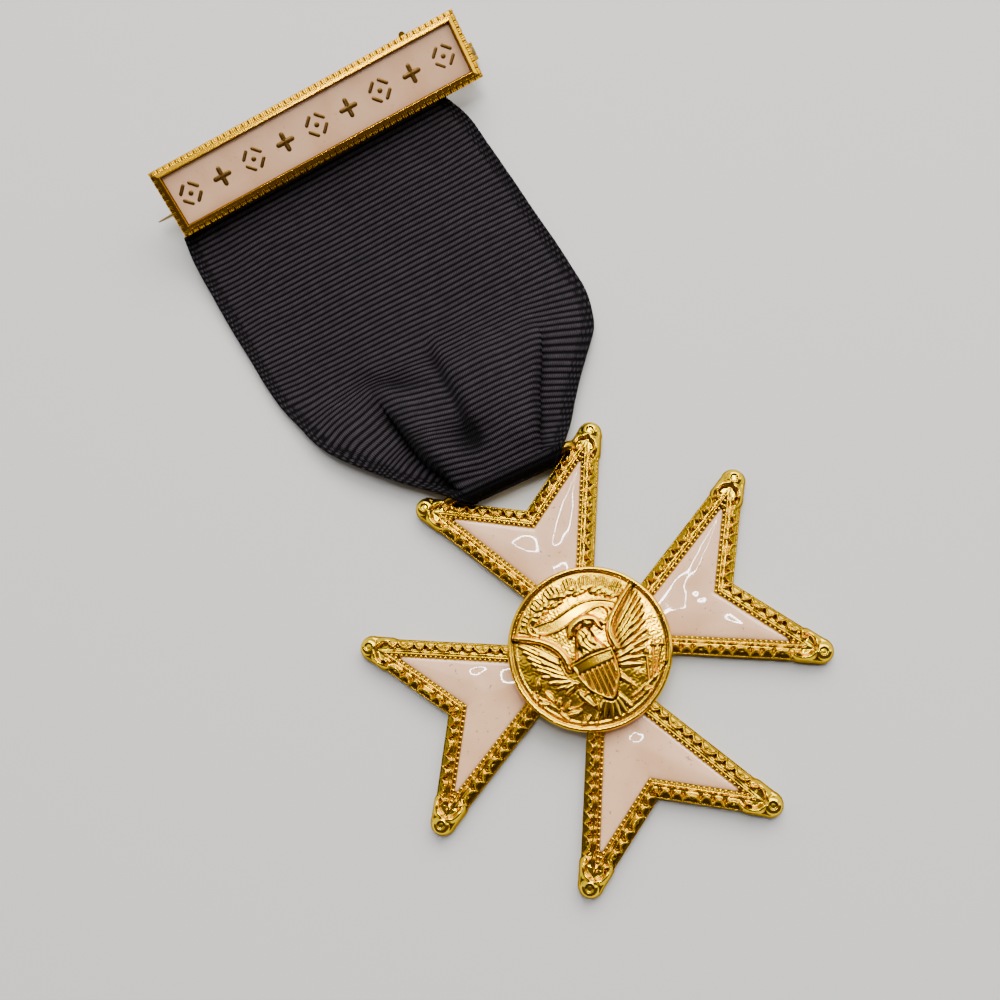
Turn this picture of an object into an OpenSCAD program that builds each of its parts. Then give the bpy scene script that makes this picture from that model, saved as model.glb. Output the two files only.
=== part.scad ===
// A jewel of an order: an enamelled Maltese cross on a gathered ribbon, hung from an enamelled
// brooch bar, lying face up. Lengths are millimetres and angles are degrees. The origin is the
// centre of the cross on its flat back, +Y runs along its top arm to the brooch bar, and +Z
// rises out of its face.

/* [Cross] */
// Half the angle between the two flanks of one arm
flank_a = 27.5; // [26.5:0.1:28.5]
// Distance from the centre to the bottom of the notch in each arm's end
notch_r = 16.7; // [15.5:0.1:18]
// Angle of the notch's sides, from square across the arm
notch_slope = 32; // [28:1:36]
// Width of the chased border round each enamel cell
border_w = 1.85; // [1.5:0.05:2.2]
// Thickness of the cross from its back to the top of the border
border_h = 1.95; // [1.7:0.05:2.4]
// Thickness of the back plate under the enamel
plate_t = 0.9; // [0.6:0.05:1.1]
// Radius of the ball on each tip
tip_ball_r = 1.12; // [0.9:0.02:1.3]
// Radius of the shell lobe inside each tip
lobe_r = 1.7; // [1.4:0.05:1.9]
// Distance from each ball's centre back to its shell lobe's centre
lobe_back = 2.1; // [1.8:0.1:2.6]
// Height of the chased zigzag above the border
chase_h = 0.2; // [0.1:0.05:0.3]
// Length of one bend of the chased zigzag
chase_pitch = 1.15; // [0.9:0.05:1.5]
// How far the domed enamel rises above its own edge
enamel_dome = 0.4; // [0.2:0.05:0.5]

/* [Medallion] */
// Radius of the struck disc
disc_r = 8.65; // [7.5:0.05:9.5]
// Thickness of the disc's field at its edge
disc_t = 0.75; // [0.6:0.05:1]
// Width of the raised rim
rim_w = 0.42; // [0.3:0.02:0.6]
// Height of the rim above the field
rim_h = 0.22; // [0.15:0.01:0.3]
// Height of the boldest relief above the field
relief_h = 0.5; // [0.3:0.05:0.7]

/* [Ribbon] */
// Width of the ribbon where it lies flat
ribbon_w = 38; // [34:0.5:41]
// Thickness of the ribbon's wall
ribbon_t = 1; // [1:0.05:1.2]
// Length from the suspension bar up to the brooch bar's lower edge
ribbon_drop = 44.8; // [38:0.2:60]
// How much higher the middle panel stands than the side panels at the gathers
crown_h = 1.55; // [1:0.05:1.8]
// Length of the sewn tail behind the suspension bar
tail_len = 8; // [5:0.5:10]
// Length of the sewn tail behind the brooch bar
top_tail_len = 3.4; // [2:0.2:4]
// Radius of the suspension bar across the top arm's notch
susp_r = 0.55; // [0.4:0.05:0.65]
// Distance of the suspension bar below the centres of the tip balls
susp_down = 0.6; // [0.4:0.05:0.9]

/* [Brooch bar] */
// Length of the bar over its frame
bar_w = 40.4; // [38:0.2:46]
// Height of the bar over its frame
bar_h = 8.2; // [7.6:0.1:9.5]
// Width of the moulded frame round the panel
bar_band = 1.15; // [0.9:0.05:1.4]
// Depth of the bar behind the face of its panel
bar_t = 1.4; // [1.2:0.05:1.8]
// Height of the frame's rim above the panel
bar_rim_h = 0.6; // [0.4:0.05:0.8]
// Thickness of the bar's back plate
bar_back_t = 0.7; // [0.5:0.05:0.8]
// Length of one notch and land of the milled edge
mill_pitch = 0.81; // [0.7:0.01:1.2]
// Depth of the milled notches
mill_depth = 0.16; // [0.1:0.02:0.22]
// How far the bar's top edge leans up from flat
bar_tilt = 34.4; // [30:0.2:38]
// Turn of the bar in plan
bar_yaw = 3.15; // [0:0.05:5]
// Distance of the bar's middle from the cross's centre line
bar_x = -3.3; // [-5:0.1:0]
// Radius of the wire that the ribbon loops over
rod_r = 0.35; // [0.25:0.05:0.4]

/* [Pin] */
// Radius of the pin's wire
pin_r = 0.4; // [0.3:0.02:0.45]
// Length from the hinge to the pin's point
pin_len = 43.4; // [41:0.2:49]
// Distance of the pin behind the bar's back
pin_depth = 3.8; // [3.6:0.05:4.4]
// Distance of the pin above the bar's lower edge
pin_up = 3.08; // [2.8:0.02:3.3]
// Length of the pin's taper to its point
point_len = 6.4; // [5:0.2:7]
// Radius of the collar that keeps the cloth clear of the pin's hinge
collar_r = 0.62; // [0.55:0.01:0.75]
// Length of that collar along the pin
collar_len = 0.6; // [0.4:0.05:1]
// How far the hinge's centre stands past the end of the bar
hinge_out = 0.25; // [0:0.05:0.4]
// Outer radius of the hinge's ears and of the pin's eye
hinge_r = 0.9; // [0.8:0.02:1]
// Radius of the hinge's rivet
rivet_r = 0.34; // [0.28:0.02:0.4]
// Width of the pin's eye
eye_w = 1; // [0.8:0.05:1.2]
// Thickness of each hinge ear
ear_t = 0.5; // [0.4:0.02:0.6]

/* [Hidden] */
$fn = 48;

// Clearances between pieces that are fitted together
seat_gap = 0.05;
fit_gap = 0.04;
run_gap = 0.06;
loop_gap = 0.2;
eps = 0.01;

// How far the balls and lobes stand out past the arm's outline
boss_past = 0.06;

// Lines of one arm, which points along +Y: its flanks pass through the centre
flank_dir = [sin(flank_a), cos(flank_a)];
flank_in = [-cos(flank_a), sin(flank_a)];
notch_dir = [cos(notch_slope), sin(notch_slope)];
notch_in = [sin(notch_slope), -cos(notch_slope)];

// Centres of the tip ball and the shell lobe at the arm's right corner
inward = unit(tip_corner(border_w) - tip_corner(0));
ball_at = tip_corner(tip_ball_r - boss_past);
lobe_at = ball_at + lobe_back * inward;

// Heights of the cross, from its flat back
crest_z = border_h + chase_h;
hub_h = crest_z + seat_gap;
seat_z = hub_h + seat_gap;
enamel_z = plate_t + seat_gap;
enamel_edge_z = border_h - enamel_dome - 0.1;
hub_r = disc_r - 1;
cell_root_r = hub_r + fit_gap;

// Heights of the medallion, above its seat
field_crown = 0.2;

// Centre line of the suspension bar
susp_y = ball_at[1] - susp_down;
susp_z = border_h - 0.1;

// Where the brooch bar stands: on its hinge and its catch, with its lower edge at the ribbon
bar_half = bar_w / 2;
edge_half = bar_h / 2;
panel_half_w = bar_half - bar_band;
panel_half_h = edge_half - bar_band;
pin_y = pin_up - edge_half;
pin_z = -bar_t - pin_depth;
ear_gap = 0.05;
hinge_half = eye_w / 2 + ear_gap + ear_t;
hinge_x = bar_half + hinge_out;
pin_height = hinge_half * sin(bar_tilt) + hinge_r * cos(bar_tilt);
bar_z = pin_height - pin_y * sin(bar_tilt) - pin_z * cos(bar_tilt);
bar_y = susp_y + ribbon_drop + edge_half * cos(bar_tilt) - bar_t * sin(bar_tilt);
rod_gap = 0.05;
rod_y = -edge_half + rod_r + 0.4;
rod_z = -bar_t - 2 * rod_gap - ribbon_t - rod_gap - rod_r;

// The pin's catch and the posts of the ribbon's wire, along the bar
catch_x = -0.88 * bar_half;
catch_w = 1.6;
prong_t = 0.35;
post_t = 0.7;
post_left_x = -bar_half + 0.25;
post_right_x = 0.77 * bar_half;

// The two loops of the ribbon
wrap_in = susp_r + loop_gap;
wrap_mid = wrap_in + ribbon_t / 2;
rod_wrap_mid = rod_r + rod_gap + ribbon_t / 2;
tail_z = ribbon_t / 2 + 0.15;

gold = [0.86, 0.62, 0.13];
gold_dark = [0.62, 0.42, 0.08];
cream = [0.87, 0.76, 0.7];
silk = [0.15, 0.14, 0.16];
steel = [0.75, 0.73, 0.66];

// Point where two lines meet, each given by its inward normal and its distance along it
function meet(n1, c1, n2, c2) =
  let (det = n1[0] * n2[1] - n1[1] * n2[0])
  [(c1 * n2[1] - c2 * n1[1]) / det, (n1[0] * c2 - n2[0] * c1) / det];

// Corners of the arm's outline taken in by d
function tip_corner(d) = meet(flank_in, d, notch_in, d - notch_r * cos(notch_slope));
function notch_point(d) = [0, notch_r - d / cos(notch_slope)];
function flank_at(d, y) = [(y * sin(flank_a) - d) / cos(flank_a), y];

function unit(v) = v / norm(v);

// A tapered strip with round ends, from a to b
function capsule(a, b, ra, rb, steps = 5) =
  let (t = atan2(b[1] - a[1], b[0] - a[0]))
  concat(
    [for (i = [0:steps]) b + rb * [cos(t - 90 + 180 * i / steps), sin(t - 90 + 180 * i / steps)]],
    [for (i = [0:steps]) a + ra * [cos(t + 90 + 180 * i / steps), sin(t + 90 + 180 * i / steps)]]
  );

module strip(a, b, ra, rb) {
  polygon(capsule(a, b, ra, rb));
}

module both_sides() {
  children();
  mirror([1, 0, 0]) children();
}

// A length of moulding along +X, whose section runs inward along +Y
module run(section, length) {
  rotate([90, 0, 90]) linear_extrude(length) polygon(section);
}

// Section of the chased border: share of border_w inward, then share of border_h upward
BORDER = [
  [0.012, 0.2], [0.012, 0.42], [0.14, 0.86], [0.22, 0.95], [0.55, 1], [0.6, 0.9],
  [0.66, 0.975], [0.76, 0.96], [0.8, 0.8], [0.98, 0.74], [0.98, 0.2]
];
border_section = [for (p = BORDER) [p[0] * border_w, p[1] * border_h]];

// Section of a tip ball and of a shell lobe: share of the radius, then share of border_h
BALL = [[0, 0], [1, 0], [1, 0.55], [0.92, 0.8], [0.74, 0.98], [0.6, 1.02], [0.52, 0.9],
        [0.42, 0.91], [0.32, 1.02], [0.12, 1.07], [0, 1.07]];
LOBE = [[0, 0], [1, 0], [1, 0.5], [0.94, 0.82], [0.82, 0.98], [0.68, 1.02], [0.59, 0.93],
        [0.47, 0.94], [0.4, 1.03], [0.2, 1.09], [0, 1.09]];

module boss(section, radius) {
  rotate_extrude() polygon([for (p = section) [p[0] * radius, p[1] * border_h]]);
}

// Outline of an arm's right half, from the centre of the cross to its ball
module half_arm() {
  polygon([
    [0, 0], ball_at - (tip_ball_r - boss_past) * flank_in,
    ball_at - (tip_ball_r - boss_past) * notch_in, [0, notch_r]
  ]);
}

// Strokes of the chased zigzag between two distances along a moulding
module zigzag(from, to) {
  strokes = floor(2 * (to - from) / chase_pitch);
  stroke_w = 0.22 * chase_pitch;
  stroke_l = 0.42 * border_w;
  stroke_h = 0.25 * crest_z;
  for (i = [0:strokes - 1])
    translate([from + (i + 0.5) * chase_pitch / 2, 0.37 * border_w, crest_z - stroke_h / 2])
      rotate([0, 0, i % 2 == 0 ? 28 : -28]) cube([stroke_w, stroke_l, stroke_h], center = true);
}

// Right half of an arm's raised border: flank and notch mouldings that meet under the shell lobe
module half_border() {
  outer = tip_corner(0);
  inner = tip_corner(border_w);
  lobe_in = lobe_at * flank_in;
  notch_len = norm(outer - [0, notch_r]);
  flank_end = lobe_at * flank_dir - 0.95 * lobe_r;
  notch_end = (lobe_at - [0, notch_r]) * notch_dir - 0.95 * lobe_r;
  intersection() {
    rotate([0, 0, 90 - flank_a]) run(border_section, norm(outer));
    linear_extrude(2 * border_h) polygon([
      [0, 0], lobe_at - lobe_in * flank_in, lobe_at, inner, [0, border_w / sin(flank_a)]
    ]);
  }
  intersection() {
    translate([outer[0], outer[1], 0]) rotate([0, 0, 180 + notch_slope])
      run(border_section, notch_len + border_w);
    linear_extrude(2 * border_h) polygon([
      [0, notch_r], notch_point(border_w), inner, lobe_at, lobe_at - lobe_in * notch_in
    ]);
  }
  rotate([0, 0, 90 - flank_a]) zigzag(disc_r - 0.3, flank_end);
  translate([outer[0], outer[1], 0]) rotate([0, 0, 180 + notch_slope])
    zigzag(notch_len - notch_end, notch_len - 0.5);
  translate(ball_at) boss(BALL, tip_ball_r);
  difference() {
    translate(lobe_at) boss(LOBE, lobe_r);
    translate([0, 0, 0.8 * plate_t]) linear_extrude(2 * border_h)
      polygon([tip_corner(border_w), notch_point(border_w), flank_at(border_w, notch_r / 2)]);
  }
}

// Cast frame of the cross, with its hub and the bar that the ribbon hangs from
module cross_frame() {
  color(gold) {
    for (turn = [0:90:270]) rotate([0, 0, -turn]) both_sides() {
      linear_extrude(plate_t) half_arm();
      half_border();
    }
    cylinder(r = hub_r, h = hub_h, $fn = 96);
    translate([-lobe_at[0], susp_y, susp_z]) rotate([0, 90, 0])
      cylinder(r = susp_r, h = 2 * lobe_at[0]);
  }
}

// Enamel of one cell, domed in steps from its edge: inset and height of each ring
DOME = [[0, 0], [0.16, 0.42], [0.45, 0.78], [0.9, 1]];

function cell_ring(inset, z) =
  let (d = border_w + fit_gap + inset, root = cell_root_r + inset * 0.4,
       low = flank_at(d, root), tip = tip_corner(d), mid = notch_point(d))
  [
    [low[0], low[1], z], [tip[0], tip[1], z], [mid[0], mid[1], z],
    [-tip[0], tip[1], z], [-low[0], low[1], z]
  ];

module cell_enamel(turn) {
  rings = concat(
    [cell_ring(0, enamel_z)],
    [for (p = DOME) cell_ring(p[0], enamel_edge_z + p[1] * enamel_dome)]
  );
  n = len(rings);
  points = [for (ring = rings) each ring];
  walls = [for (k = [0:n - 2]) for (i = [0:4])
    [k * 5 + i, (k + 1) * 5 + i, (k + 1) * 5 + (i + 1) % 5, k * 5 + (i + 1) % 5]];
  caps = [[for (i = [0:4]) i], [for (i = [4:-1:0]) (n - 1) * 5 + i]];
  color(cream) rotate([0, 0, -turn]) polyhedron(points, concat(walls, caps));
}

module enamel_top() { cell_enamel(0); }
module enamel_right() { cell_enamel(90); }
module enamel_bottom() { cell_enamel(180); }
module enamel_left() { cell_enamel(270); }

// Relief of the medallion, in shares of its radius
// Feathers of one wing: root x and y, tip x and y, width
WING = [
  [0.50, 0.36, 0.77, 0.47, 0.042], [0.46, 0.29, 0.80, 0.36, 0.044], [0.43, 0.22, 0.81, 0.24, 0.046],
  [0.40, 0.15, 0.79, 0.11, 0.046], [0.38, 0.08, 0.75, -0.02, 0.046], [0.35, 0.01, 0.69, -0.15, 0.044],
  [0.32, -0.06, 0.61, -0.27, 0.042], [0.28, -0.12, 0.51, -0.37, 0.04]
];
// Leading edge of one wing: x, y, half thickness
WING_ARM = [
  [0.20, -0.06, 0.10], [0.34, 0.06, 0.085], [0.40, 0.20, 0.07], [0.50, 0.35, 0.055], [0.74, 0.50, 0.03]
];
// Neck, head and breast: x, y, radius
BODY = [[0.06, 0.27, 0.085], [0.03, 0.17, 0.1], [0, 0.04, 0.17], [0, -0.15, 0.2]];
// Leaves of the sprig: x, y, direction
LEAVES = [
  [-0.32, -0.62, 160], [-0.42, -0.55, 130], [-0.5, -0.52, 175], [-0.56, -0.42, 120], [-0.64, -0.36, 170]
];
shield_top = -0.1;
shield_half = 0.25;

module chain(points) {
  for (i = [0:len(points) - 2])
    strip([points[i][0], points[i][1]], [points[i + 1][0], points[i + 1][1]], points[i][2], points[i + 1][2]);
}

module raised(share) {
  linear_extrude(disc_t + field_crown * 0.6 + share * relief_h) scale(disc_r) children();
}

module shield() {
  side = [for (i = [0:6]) [shield_half * cos(90 * i / 6 * 0.92), -0.34 - 0.3 * sin(90 * i / 6)]];
  polygon(concat(
    [[shield_half, shield_top]], side,
    [for (i = [6:-1:0]) [-side[i][0], side[i][1]]], [[-shield_half, shield_top]]
  ));
}

module eagle() {
  raised(0.55) both_sides() for (f = WING) strip([f[0], f[1]], [f[2], f[3]], f[4], f[4] * 0.6);
  raised(0.8) both_sides() chain(WING_ARM);
  raised(0.9) {
    chain(BODY);
    strip([0.1, 0.29], [0.2, 0.24], 0.05, 0.015);
  }
  raised(0.6) {
    for (i = [-2:2]) strip([0, -0.5], [0.11 * i, -0.84 + 0.02 * i * i], 0.03, 0.05);
    both_sides() strip([0.2, -0.42], [0.3, -0.62], 0.06, 0.035);
  }
  raised(0.75) shield();
  raised(1) {
    translate([-shield_half + 0.03, shield_top - 0.13]) square([2 * shield_half - 0.06, 0.1]);
    for (i = [-2:2]) translate([i * 0.085 - 0.02, -0.55 + 0.035 * i * i])
      square([0.04, 0.32 - 0.035 * i * i]);
  }
}

module bare_scroll() {
  steps = 12;
  wave = [for (i = [0:steps]) let (x = -0.5 + i / steps) [x, 0.45 + 0.035 * sin(360 * x)]];
  polygon(concat(wave, [for (i = [steps:-1:0]) wave[i] + [0, 0.09]]));
  strip([0.48, 0.42], [0.4, 0.33], 0.03, 0.03);
  strip([-0.48, 0.5], [-0.55, 0.42], 0.03, 0.03);
}

module sprigs() {
  for (leaf = LEAVES)
    strip([leaf[0], leaf[1]], [leaf[0], leaf[1]] + 0.1 * [cos(leaf[2]), sin(leaf[2])], 0.04, 0.012);
  strip([-0.25, -0.64], [-0.62, -0.42], 0.014, 0.014);
  for (i = [0:2]) strip([0.26, -0.62 + 0.04 * i], [0.66, -0.5 + 0.09 * i], 0.014, 0.014);
}

module rays_and_clouds() {
  for (a = [38:8:142]) strip(0.76 * [cos(a), sin(a)], 0.88 * [cos(a), sin(a)], 0.012, 0.022);
  for (a = [50:12:130]) translate(0.66 * [cos(a), sin(a)]) circle(0.07, $fn = 24);
}

// Struck disc with its rim
module medallion() {
  rim_in = disc_r - rim_w;
  section = [
    [0, 0], [disc_r - 0.1, 0], [disc_r, 0.1], [disc_r, disc_t + rim_h - 0.1],
    [disc_r - 0.1, disc_t + rim_h], [rim_in, disc_t + rim_h], [rim_in - 0.1, disc_t],
    [rim_in * 0.75, disc_t + field_crown * 0.4], [rim_in * 0.45, disc_t + field_crown * 0.8],
    [0, disc_t + field_crown]
  ];
  color(gold) translate([0, 0, seat_z]) {
    rotate_extrude($fn = 120) polygon(section);
    eagle();
    raised(0.45) bare_scroll();
    raised(0.35) sprigs();
    raised(0.25) rays_and_clouds();
  }
}

// Places its children on the brooch bar: X along it, Y up its face, Z out of its face
module on_bar() {
  translate([bar_x, bar_y, bar_z]) rotate([0, 0, bar_yaw]) rotate([bar_tilt, 0, 0]) children();
}

// Section of the bar's frame: share of bar_band inward, then share of bar_rim_h above the panel
BAND = [[0, 0.3], [0.1, 0.75], [0.28, 1], [0.46, 0.95], [0.5, 0.8], [0.86, 0.25], [0.9, 0.32], [1, 0.28]];

module bar_moulding(length) {
  section = concat(
    [[0, -bar_t]],
    [for (p = BAND) [p[0] * bar_band, p[1] * bar_rim_h]],
    [[bar_band, -bar_t]]
  );
  notches = round(length / mill_pitch);
  intersection() {
    difference() {
      run(section, length);
      for (i = [0:notches - 1])
        translate([(i + 0.32) * length / notches, -eps, bar_rim_h - mill_depth])
          cube([0.36 * mill_pitch, 0.42 * bar_band, mill_depth + eps]);
    }
    linear_extrude(4 * bar_t, center = true)
      polygon([[0, 0], [length, 0], [length - bar_band, bar_band], [bar_band, bar_band]]);
  }
}

// Ornament in the enamel: open lozenges and crosslets, each drawn larger by grow for its pocket
module bar_motif(grow) {
  line = 0.22 + grow;
  high = 0.5 * panel_half_h;
  step = panel_half_w / 4.5;
  for (i = [-4:2:4]) translate([i * step, 0]) {
    for (s = [-1, 1]) for (t = [-1, 1]) let (a = [s * high * 1.15, 0], b = [0, t * high])
      polygon(capsule(mixed(a, b, 0.27), mixed(a, b, 0.73), line, line));
    circle(line * 1.5, $fn = 24);
  }
  for (i = [-3:2:3]) translate([i * step, 0])
    for (a = [0:90:270]) polygon(capsule([0, 0], 0.62 * high * [cos(a), sin(a)], line, line * 1.7));
}

module hinge_ear() {
  foot_x = hinge_x - 3 * hinge_r;
  out = [hinge_x, pin_z];
  side = unit([1, -0.35]);
  polygon([
    [foot_x, -bar_t + eps], [bar_half - 0.1, -bar_t + eps],
    out + hinge_r * side, out, out - hinge_r * unit([1, 0.6])
  ]);
  translate(out) circle(hinge_r);
}

// Soldered brooch bar: frame, back plate, motif, wire posts, catch and hinge ears
module bar_frame() {
  trough = pin_r + 0.05;
  prong_h = pin_depth + (pin_height - (trough + prong_t) * sin(bar_tilt)) / cos(bar_tilt);
  color(gold) on_bar() {
    translate([-bar_half, -edge_half, 0]) bar_moulding(bar_w);
    translate([bar_half, edge_half, 0]) rotate([0, 0, 180]) bar_moulding(bar_w);
    translate([bar_half, -edge_half, 0]) rotate([0, 0, 90]) bar_moulding(bar_h);
    translate([-bar_half, edge_half, 0]) rotate([0, 0, 270]) bar_moulding(bar_h);
    translate([-bar_half + bar_band - eps, -edge_half + bar_band - eps, -bar_t])
      cube([2 * panel_half_w + 2 * eps, 2 * panel_half_h + 2 * eps, bar_back_t]);
    translate([0, 0, -bar_t]) linear_extrude(bar_t) bar_motif(0);
    for (x = [post_left_x, post_right_x]) difference() {
      translate([x - post_t / 2, rod_y - rod_r - 0.38, rod_z - rod_r - 0.35])
        cube([post_t, 2 * rod_r + 0.76, -bar_t - rod_z + rod_r + 0.35 + eps]);
      translate([x - post_t, rod_y, rod_z]) rotate([0, 90, 0])
        cylinder(r = rod_r + run_gap, h = 2 * post_t);
    }
    translate([catch_x - catch_w / 2, pin_y, -bar_t]) difference() {
      translate([0, -trough - prong_t, -prong_h])
        cube([catch_w, 2 * (trough + prong_t), prong_h + eps]);
      translate([-eps, -trough, -prong_h - eps])
        cube([catch_w + 2 * eps, 2 * trough, prong_h - pin_depth + pin_r + 0.1]);
    }
    for (s = [-1, 1])
      translate([0, pin_y + s * (eye_w / 2 + ear_gap + ear_t / 2) + ear_t / 2, 0])
        rotate([90, 0, 0]) difference() {
          linear_extrude(ear_t) hinge_ear();
          translate([hinge_x, pin_z, -eps]) cylinder(r = rivet_r + run_gap, h = ear_t + 2 * eps);
        }
    translate([hinge_x - 3 * hinge_r, pin_y - hinge_half, -bar_t - 0.5])
      cube([3 * hinge_r - hinge_out - 0.1, 2 * hinge_half, 0.5 + eps]);
    translate([0.68 * bar_half, edge_half - 0.6, -bar_t]) {
      translate([-0.4, 0, 0]) cube([0.8, 0.7, 0.5]);
      translate([0, 0.7, 0]) cylinder(r = 0.4, h = 0.5);
    }
  }
}

module bar_enamel() {
  back = -bar_t + bar_back_t + fit_gap;
  color(cream) on_bar() difference() {
    translate([-panel_half_w + fit_gap, -panel_half_h + fit_gap, back])
      cube([2 * (panel_half_w - fit_gap), 2 * (panel_half_h - fit_gap), -back]);
    translate([0, 0, back - eps]) linear_extrude(-back + 2 * eps) bar_motif(fit_gap);
  }
}

// Plain wire that the ribbon loops over, held in the two posts
module ribbon_rod() {
  reach = post_t / 2 + 0.1;
  color(gold_dark) on_bar() translate([post_left_x - reach, rod_y, rod_z]) rotate([0, 90, 0])
    cylinder(r = rod_r, h = post_right_x - post_left_x + 2 * reach);
}

module hinge_rivet() {
  color(gold_dark) on_bar() translate([hinge_x, pin_y + hinge_half, pin_z]) rotate([90, 0, 0])
    cylinder(r = rivet_r, h = 2 * hinge_half);
}

// Pin with its eye and collar, straight from the hinge to the point past the far end of the bar
module pin_stem() {
  collar_at = hinge_r + 0.15;
  color(steel) on_bar() translate([hinge_x, pin_y, pin_z]) difference() {
    union() {
      translate([0, eye_w / 2, 0]) rotate([90, 0, 0]) cylinder(r = hinge_r, h = eye_w);
      rotate([0, -90, 0]) rotate_extrude() polygon([
        [0, 0], [pin_r, 0], [pin_r, collar_at], [collar_r, collar_at],
        [collar_r, collar_at + collar_len], [pin_r, collar_at + collar_len],
        [pin_r, pin_len - point_len],
        [0.7 * pin_r, pin_len - 0.4 * point_len], [0.1, pin_len], [0, pin_len]
      ]);
    }
    translate([0, eye_w, 0]) rotate([90, 0, 0]) cylinder(r = rivet_r + run_gap, h = 2 * eye_w);
  }
}

// Front of the ribbon, a row for each section from the suspension bar up to the brooch bar:
// share of ribbon_drop, left edge, right edge, left crease and right crease as shares of ribbon_w,
// height of the side panels as a share of crown_h, and how far the middle panel is raised
FRONT = [
  [0.00, -0.170, 0.165, -0.135, 0.105, 2.00, 0.00],
  [0.02, -0.190, 0.188, -0.150, 0.108, 1.62, 0.36],
  [0.05, -0.240, 0.226, -0.158, 0.113, 1.28, 0.84],
  [0.10, -0.308, 0.268, -0.184, 0.137, 1.20, 0.97],
  [0.15, -0.366, 0.313, -0.203, 0.158, 1.18, 0.86],
  [0.20, -0.421, 0.363, -0.216, 0.189, 1.12, 0.70],
  [0.25, -0.468, 0.411, -0.236, 0.224, 0.98, 0.54],
  [0.30, -0.500, 0.432, -0.258, 0.256, 0.82, 0.36],
  [0.35, -0.521, 0.442, -0.276, 0.263, 0.64, 0.20],
  [0.42, -0.550, 0.438, -0.285, 0.263, 0.47, 0.06],
  [0.50, -0.570, 0.429, -0.290, 0.260, 0.43, 0.00],
  [0.60, -0.587, 0.413, -0.295, 0.255, 0.43, 0.00],
  [0.72, -0.608, 0.395, -0.300, 0.250, 0.50, 0.00],
  [0.83, -0.622, 0.376, -0.305, 0.240, 0.70, 0.00],
  [0.93, -0.632, 0.355, -0.310, 0.235, 1.02, 0.00],
  [1.00, -0.629, 0.318, -0.310, 0.230, 1.36, 0.00]
];

// Value of a column of the table at share u, on a smooth curve through its rows
function row_at(u, i = 0) = (i >= len(FRONT) - 2 || u <= FRONT[i + 1][0]) ? i : row_at(u, i + 1);
function pull(c, i) =
  let (a = FRONT[max(i - 1, 0)], b = FRONT[min(i + 1, len(FRONT) - 1)]) (b[c] - a[c]) / (b[0] - a[0]);
function front(c, u) =
  let (i = row_at(u), a = FRONT[i], b = FRONT[i + 1], w = b[0] - a[0], s = (u - a[0]) / w)
  a[c] * (1 + 2 * s) * pow(1 - s, 2) + pull(c, i) * w * s * pow(1 - s, 2)
  + b[c] * s * s * (3 - 2 * s) - pull(c, i + 1) * w * s * s * (1 - s);

function ease(a, b, v) = let (s = min(1, max(0, (v - a) / (b - a)))) s * s * (3 - 2 * s);

// Soft valley left of the middle, and the ridge that runs into the left crease: height at x, u
function valley(x, u) =
  -0.26 * crown_h * exp(-pow((x / ribbon_w + 0.06) / 0.03, 2)) * ease(0.08, 0.18, u) * ease(0.42, 0.32, u);
function ridge(x, u) =
  0.22 * crown_h * exp(-pow((x / ribbon_w + 0.275) / 0.05, 2)) * ease(0.2, 0.29, u) * ease(0.42, 0.33, u);

// Rows of the ribbon, in order from its tail behind the brooch bar, over the wire, down the front,
// round the suspension bar and up its second tail. A row is [y, z, angle of its outer side, turn in
// plan, left edge, left crease, right crease, right edge, raise of the middle, share up the front].
function edges(u) = [for (c = [1, 3, 4, 2]) front(c, u) * ribbon_w];
function scaled(list, k) = [for (v = list) v * k];
function mixed(a, b, k) = [for (i = [0:len(a) - 1]) a[i] + (b[i] - a[i]) * k];
function row(y, z, angle, yaw, e, raise, u) = [y, z, angle, yaw, e[0], e[1], e[2], e[3], raise, u];

rod_at = [bar_y + rod_y * cos(bar_tilt) - rod_z * sin(bar_tilt),
          bar_z + rod_y * sin(bar_tilt) + rod_z * cos(bar_tilt)];
rod_edges = [
  bar_x + post_left_x + post_t / 2 + loop_gap, front(3, 1) * ribbon_w,
  front(4, 1) * ribbon_w, bar_x + post_right_x - post_t / 2 - loop_gap
];
face_angle = 90 + bar_tilt;
front_top = rod_at + rod_wrap_mid * [cos(face_angle), sin(face_angle)];
edge_run = rod_y + edge_half;
front_edge = front_top - edge_run * [cos(bar_tilt), sin(bar_tilt)];

upper_tail = [for (k = [3:-1:1]) let (s = k / 3) row(
  rod_at[0] - s * top_tail_len, rod_at[1] - rod_wrap_mid * (1 - s) - (rod_at[1] - tail_z) * s,
  -90, bar_yaw, rod_edges, 0, 1)];
upper_wrap = [for (k = [0:8]) let (a = -90 + (face_angle + 90) * k / 8) row(
  rod_at[0] + rod_wrap_mid * cos(a), rod_at[1] + rod_wrap_mid * sin(a), a, bar_yaw, rod_edges, 0, 1)];
bar_pass = [row(front_edge[0], front_edge[1], face_angle, bar_yaw,
  mixed(rod_edges, edges(1), 0.6), 0, 1)];
rises = [for (k = [29:-1:1]) pow(k / 30, 1.35) * 0.97];
front_rows = [for (u = rises) row(
  susp_y + u * (front_edge[0] - susp_y), front_z(u),
  90 + 0.5 * bar_tilt * ease(0.8, 1, u), bar_yaw * ease(0.2, 0.9, u), edges(u), front(6, u), u)];
lower_wrap = [for (k = [0:8]) let (a = 90 + 22.5 * k) row(
  susp_y + wrap_mid * cos(a), susp_z + wrap_mid * sin(a), a, 0,
  scaled(edges(0), 1 - 0.38 * pow(sin(a - 90), 2) + 0.15 * ease(180, 270, a) * -cos(a - 90)), 0, 0)];
lower_tail = [for (k = [1:4]) let (s = k / 4) row(
  susp_y + s * tail_len, susp_z - wrap_mid, 270, 0, scaled(edges(s * tail_len / ribbon_drop), 0.85), 0, 0)];

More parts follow.
